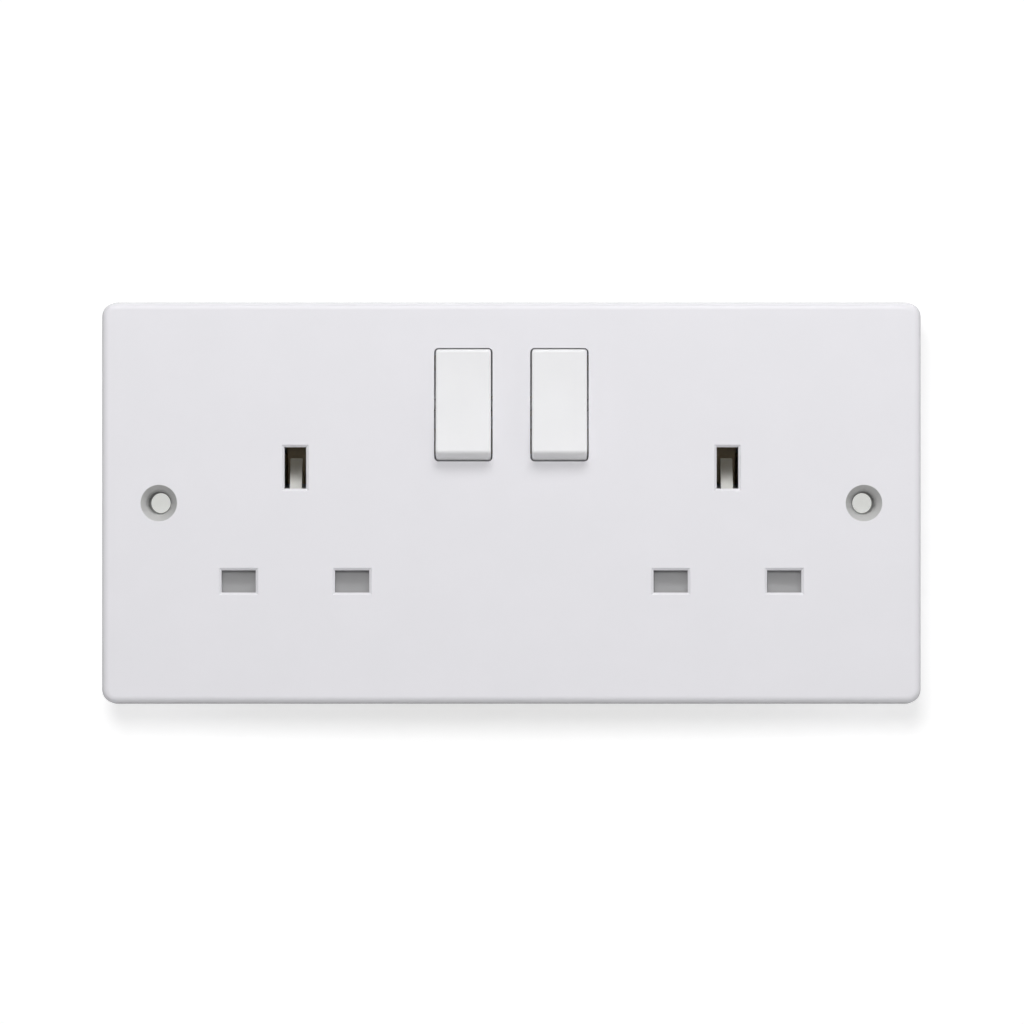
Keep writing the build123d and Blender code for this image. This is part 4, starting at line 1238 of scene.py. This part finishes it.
@dataclass(frozen=True)
class Studio:
    """Camera, lamps, white surroundings, floor and the wall that takes the plate's shadow."""

    camera_place: tuple[float, float, float] = (0.000117, -1.2595, -0.00175)
    lens_mm: float = 224.55
    sensor_mm: float = 36.0
    clip: tuple[float, float] = (0.01, 20.0)
    ambient: float = 0.350
    surround: float = 1.0
    hole_x: float = 0.069
    hole_rim: tuple[float, float] = (0.003, 0.006)
    hole_shade: Colour = (0.675, 0.685, 0.655)
    wall_y: float = 0.0181
    wall_half: float = 0.6
    wall_albedo: float = 0.72
    wall_glow: float = 0.545
    floor_z: float = -0.12
    floor_half: float = 2.0
    floor_shown: float = 0.35
    floor_glow: float = 0.78
    floor_felt: float = 0.36
    lamps: tuple[Softbox, ...] = (
        Softbox("top_softbox", 6.0, 52.0, 0.6, 0.40, 0.20, 0.262, spares_wall=True),
        Softbox("key_softbox", -2.5, 11.0, 1.5, 0.26, 0.26, 0.285),
        Softbox("low_softbox", 0.0, -22.0, 0.8, 0.5, 0.25, 0.068, spares_wall=True),
        Softbox("side_softbox", 72.0, 0.0, 1.0, 0.5, 0.5, 0.022, spares_wall=True),
        Softbox("back_softbox", 0.0, 30.0, 1.2, 0.8, 0.8, 0.6, faces_back=True),
    )

    def build(self) -> None:
        """Builds the whole studio."""
        self._camera()
        self._surroundings()
        wall = self._wall()
        self._floor()
        spared = bpy.data.collections.new("spared_wall")
        spared.objects.link(wall)
        spared.collection_objects[0].light_linking.link_state = "EXCLUDE"
        for lamp in self.lamps:
            piece = lamp.build()
            if lamp.spares_wall:
                piece.light_linking.receiver_collection = spared
        bpy.context.scene.view_settings.view_transform = "Standard"

    def _camera(self) -> None:
        """Sets the camera where the photograph was taken from."""
        data = bpy.data.cameras.new("photo_camera")
        data.lens, data.sensor_width = self.lens_mm, self.sensor_mm
        data.clip_start, data.clip_end = self.clip
        camera = bpy.data.objects.new("photo_camera", data)
        camera.location = self.camera_place
        camera.rotation_euler = (pi / 2, 0.0, 0.0)
        bpy.context.scene.collection.objects.link(camera)
        bpy.context.scene.camera = camera

    def _surroundings(self) -> None:
        """A world that is white to the eye, to gloss and to glass, and dimmer as light."""
        bench = Bench("surroundings", bpy.data.worlds)
        felt = self.surround + bench.ray("Is Diffuse Ray") * (self.ambient - self.surround)
        glow = bench.node("ShaderNodeBackground", inputs={"Strength": felt})
        bpy.context.scene.world = bench.finished(glow, "ShaderNodeOutputWorld")

    def _sheet(self, name: str, corners: np.ndarray) -> bpy.types.Object:
        """A flat stage piece.

        Args:
            name: its name.
            corners: its four corners in order.

        Returns:
            The piece, marked as stage.
        """
        mesh = bpy.data.meshes.new(name)
        mesh.from_pydata(corners.tolist(), [], [(0, 1, 2, 3)])
        piece = bpy.data.objects.new(name, mesh)
        bpy.context.scene.collection.objects.link(piece)
        return piece

    def _wall(self) -> bpy.types.Object:
        """A wall behind the plate, seen only from the front, that takes its shadow and casts none.

        Returns:
            The wall.
        """
        h, y = self.wall_half, self.wall_y
        wall = self._sheet("shadow_wall", np.array([(-h, y, -h), (h, y, -h), (h, y, h), (-h, y, h)]))
        for flag in ("visible_shadow", "visible_diffuse", "visible_glossy", "visible_transmission"):
            setattr(wall, flag, False)
        bench = Bench("shadow_wall_look")
        side = bench.node("ShaderNodeNewGeometry")
        seen = bench.ray("Is Camera Ray") * (1 - Signal(bench, side.outputs["Backfacing"]))
        x, _, z = bench.axes(bench.place())
        # painted shade: the wall is painted darker behind each fixing hole
        from_hole = ((x.size() - self.hole_x) ** 2 + z ** 2) ** 0.5
        lit = from_hole.ramp(*self.hole_rim)
        paint = bench.node("ShaderNodeBsdfDiffuse", inputs={"Color": bench.blend(
            lit, self.hole_shade, (self.wall_albedo,) * 3)})
        glow = bench.node("ShaderNodeEmission", inputs={"Strength": self.wall_glow, "Color": bench.blend(
            lit, self.hole_shade, (1.0, 1.0, 1.0))})
        both = bench.node("ShaderNodeAddShader", inputs={0: paint.outputs[0], 1: glow.outputs[0]})
        clear = bench.node("ShaderNodeBsdfTransparent")
        shown = bench.node("ShaderNodeMixShader", inputs={0: seen, 1: clear.outputs[0], 2: both.outputs[0]})
        wall.data.materials.append(bench.finished(shown))
        return wall

    def _floor(self) -> None:
        """A pale floor that looks lighter than it lights, and lets the low lamp's light through."""
        h, z = self.floor_half, self.floor_z
        floor = self._sheet("floor", np.array([(-h, -h, z), (h, -h, z), (h, h, z), (-h, h, z)]))
        bench = Bench("floor_look")
        tone = bench.blend(bench.ray("Is Diffuse Ray"), (self.floor_shown,) * 3, (self.floor_felt,) * 3)
        paint = bench.node("ShaderNodeBsdfDiffuse", inputs={"Color": tone})
        glow = bench.node("ShaderNodeEmission", inputs={"Strength": self.floor_glow})
        both = bench.node("ShaderNodeAddShader", inputs={0: paint.outputs[0], 1: glow.outputs[0]})
        shown = bench.node("ShaderNodeMixShader", inputs={
            0: bench.ray("Is Camera Ray"), 1: paint.outputs[0], 2: both.outputs[0]})
        floor.data.materials.append(bench.finished(shown))
        floor.visible_shadow = False


def main() -> None:
    """Builds the studio, dresses the frame and adds each sub-assembly."""
    logging.basicConfig(level=logging.INFO, format="%(message)s")
    Studio().build()
    dresser = Dresser()
    dresser.dress_frame()
    workshop = Workshop(dresser)
    for side, way in SIDES:
        SwitchRocker(side, way).build(workshop)
    SpringSet().build(workshop)
    clamp = MachineScrew(major=1.7, core=1.4, pitch=0.7, length=3.75, head=3.0, head_height=2.0,
                         recess=Recess.SLOT, recess_length=7.0)
    in_a_row = tuple((x, -27.1) for x in (-21.0, -7.0, 7.0, 21.0))
    ScrewSet("terminal_screws", clamp, tip_y=11.75, places=in_a_row).build(workshop)
    tapping = MachineScrew(major=1.35, core=1.05, pitch=1.0, length=11.0, head=2.8, head_height=2.0,
                           recess=Recess.CROSS, point=1.6, recess_width=0.7)
    corners = tuple((x, z) for x in (-57.3, 57.3) for z in (-28.4, 28.4))
    ScrewSet("housing_screws", tapping, tip_y=-5.0, places=corners).build(workshop)
    RivetSet().build(workshop)
    FixingHoleShadeSkin().build(workshop)


if __name__ == "__main__":
    main()
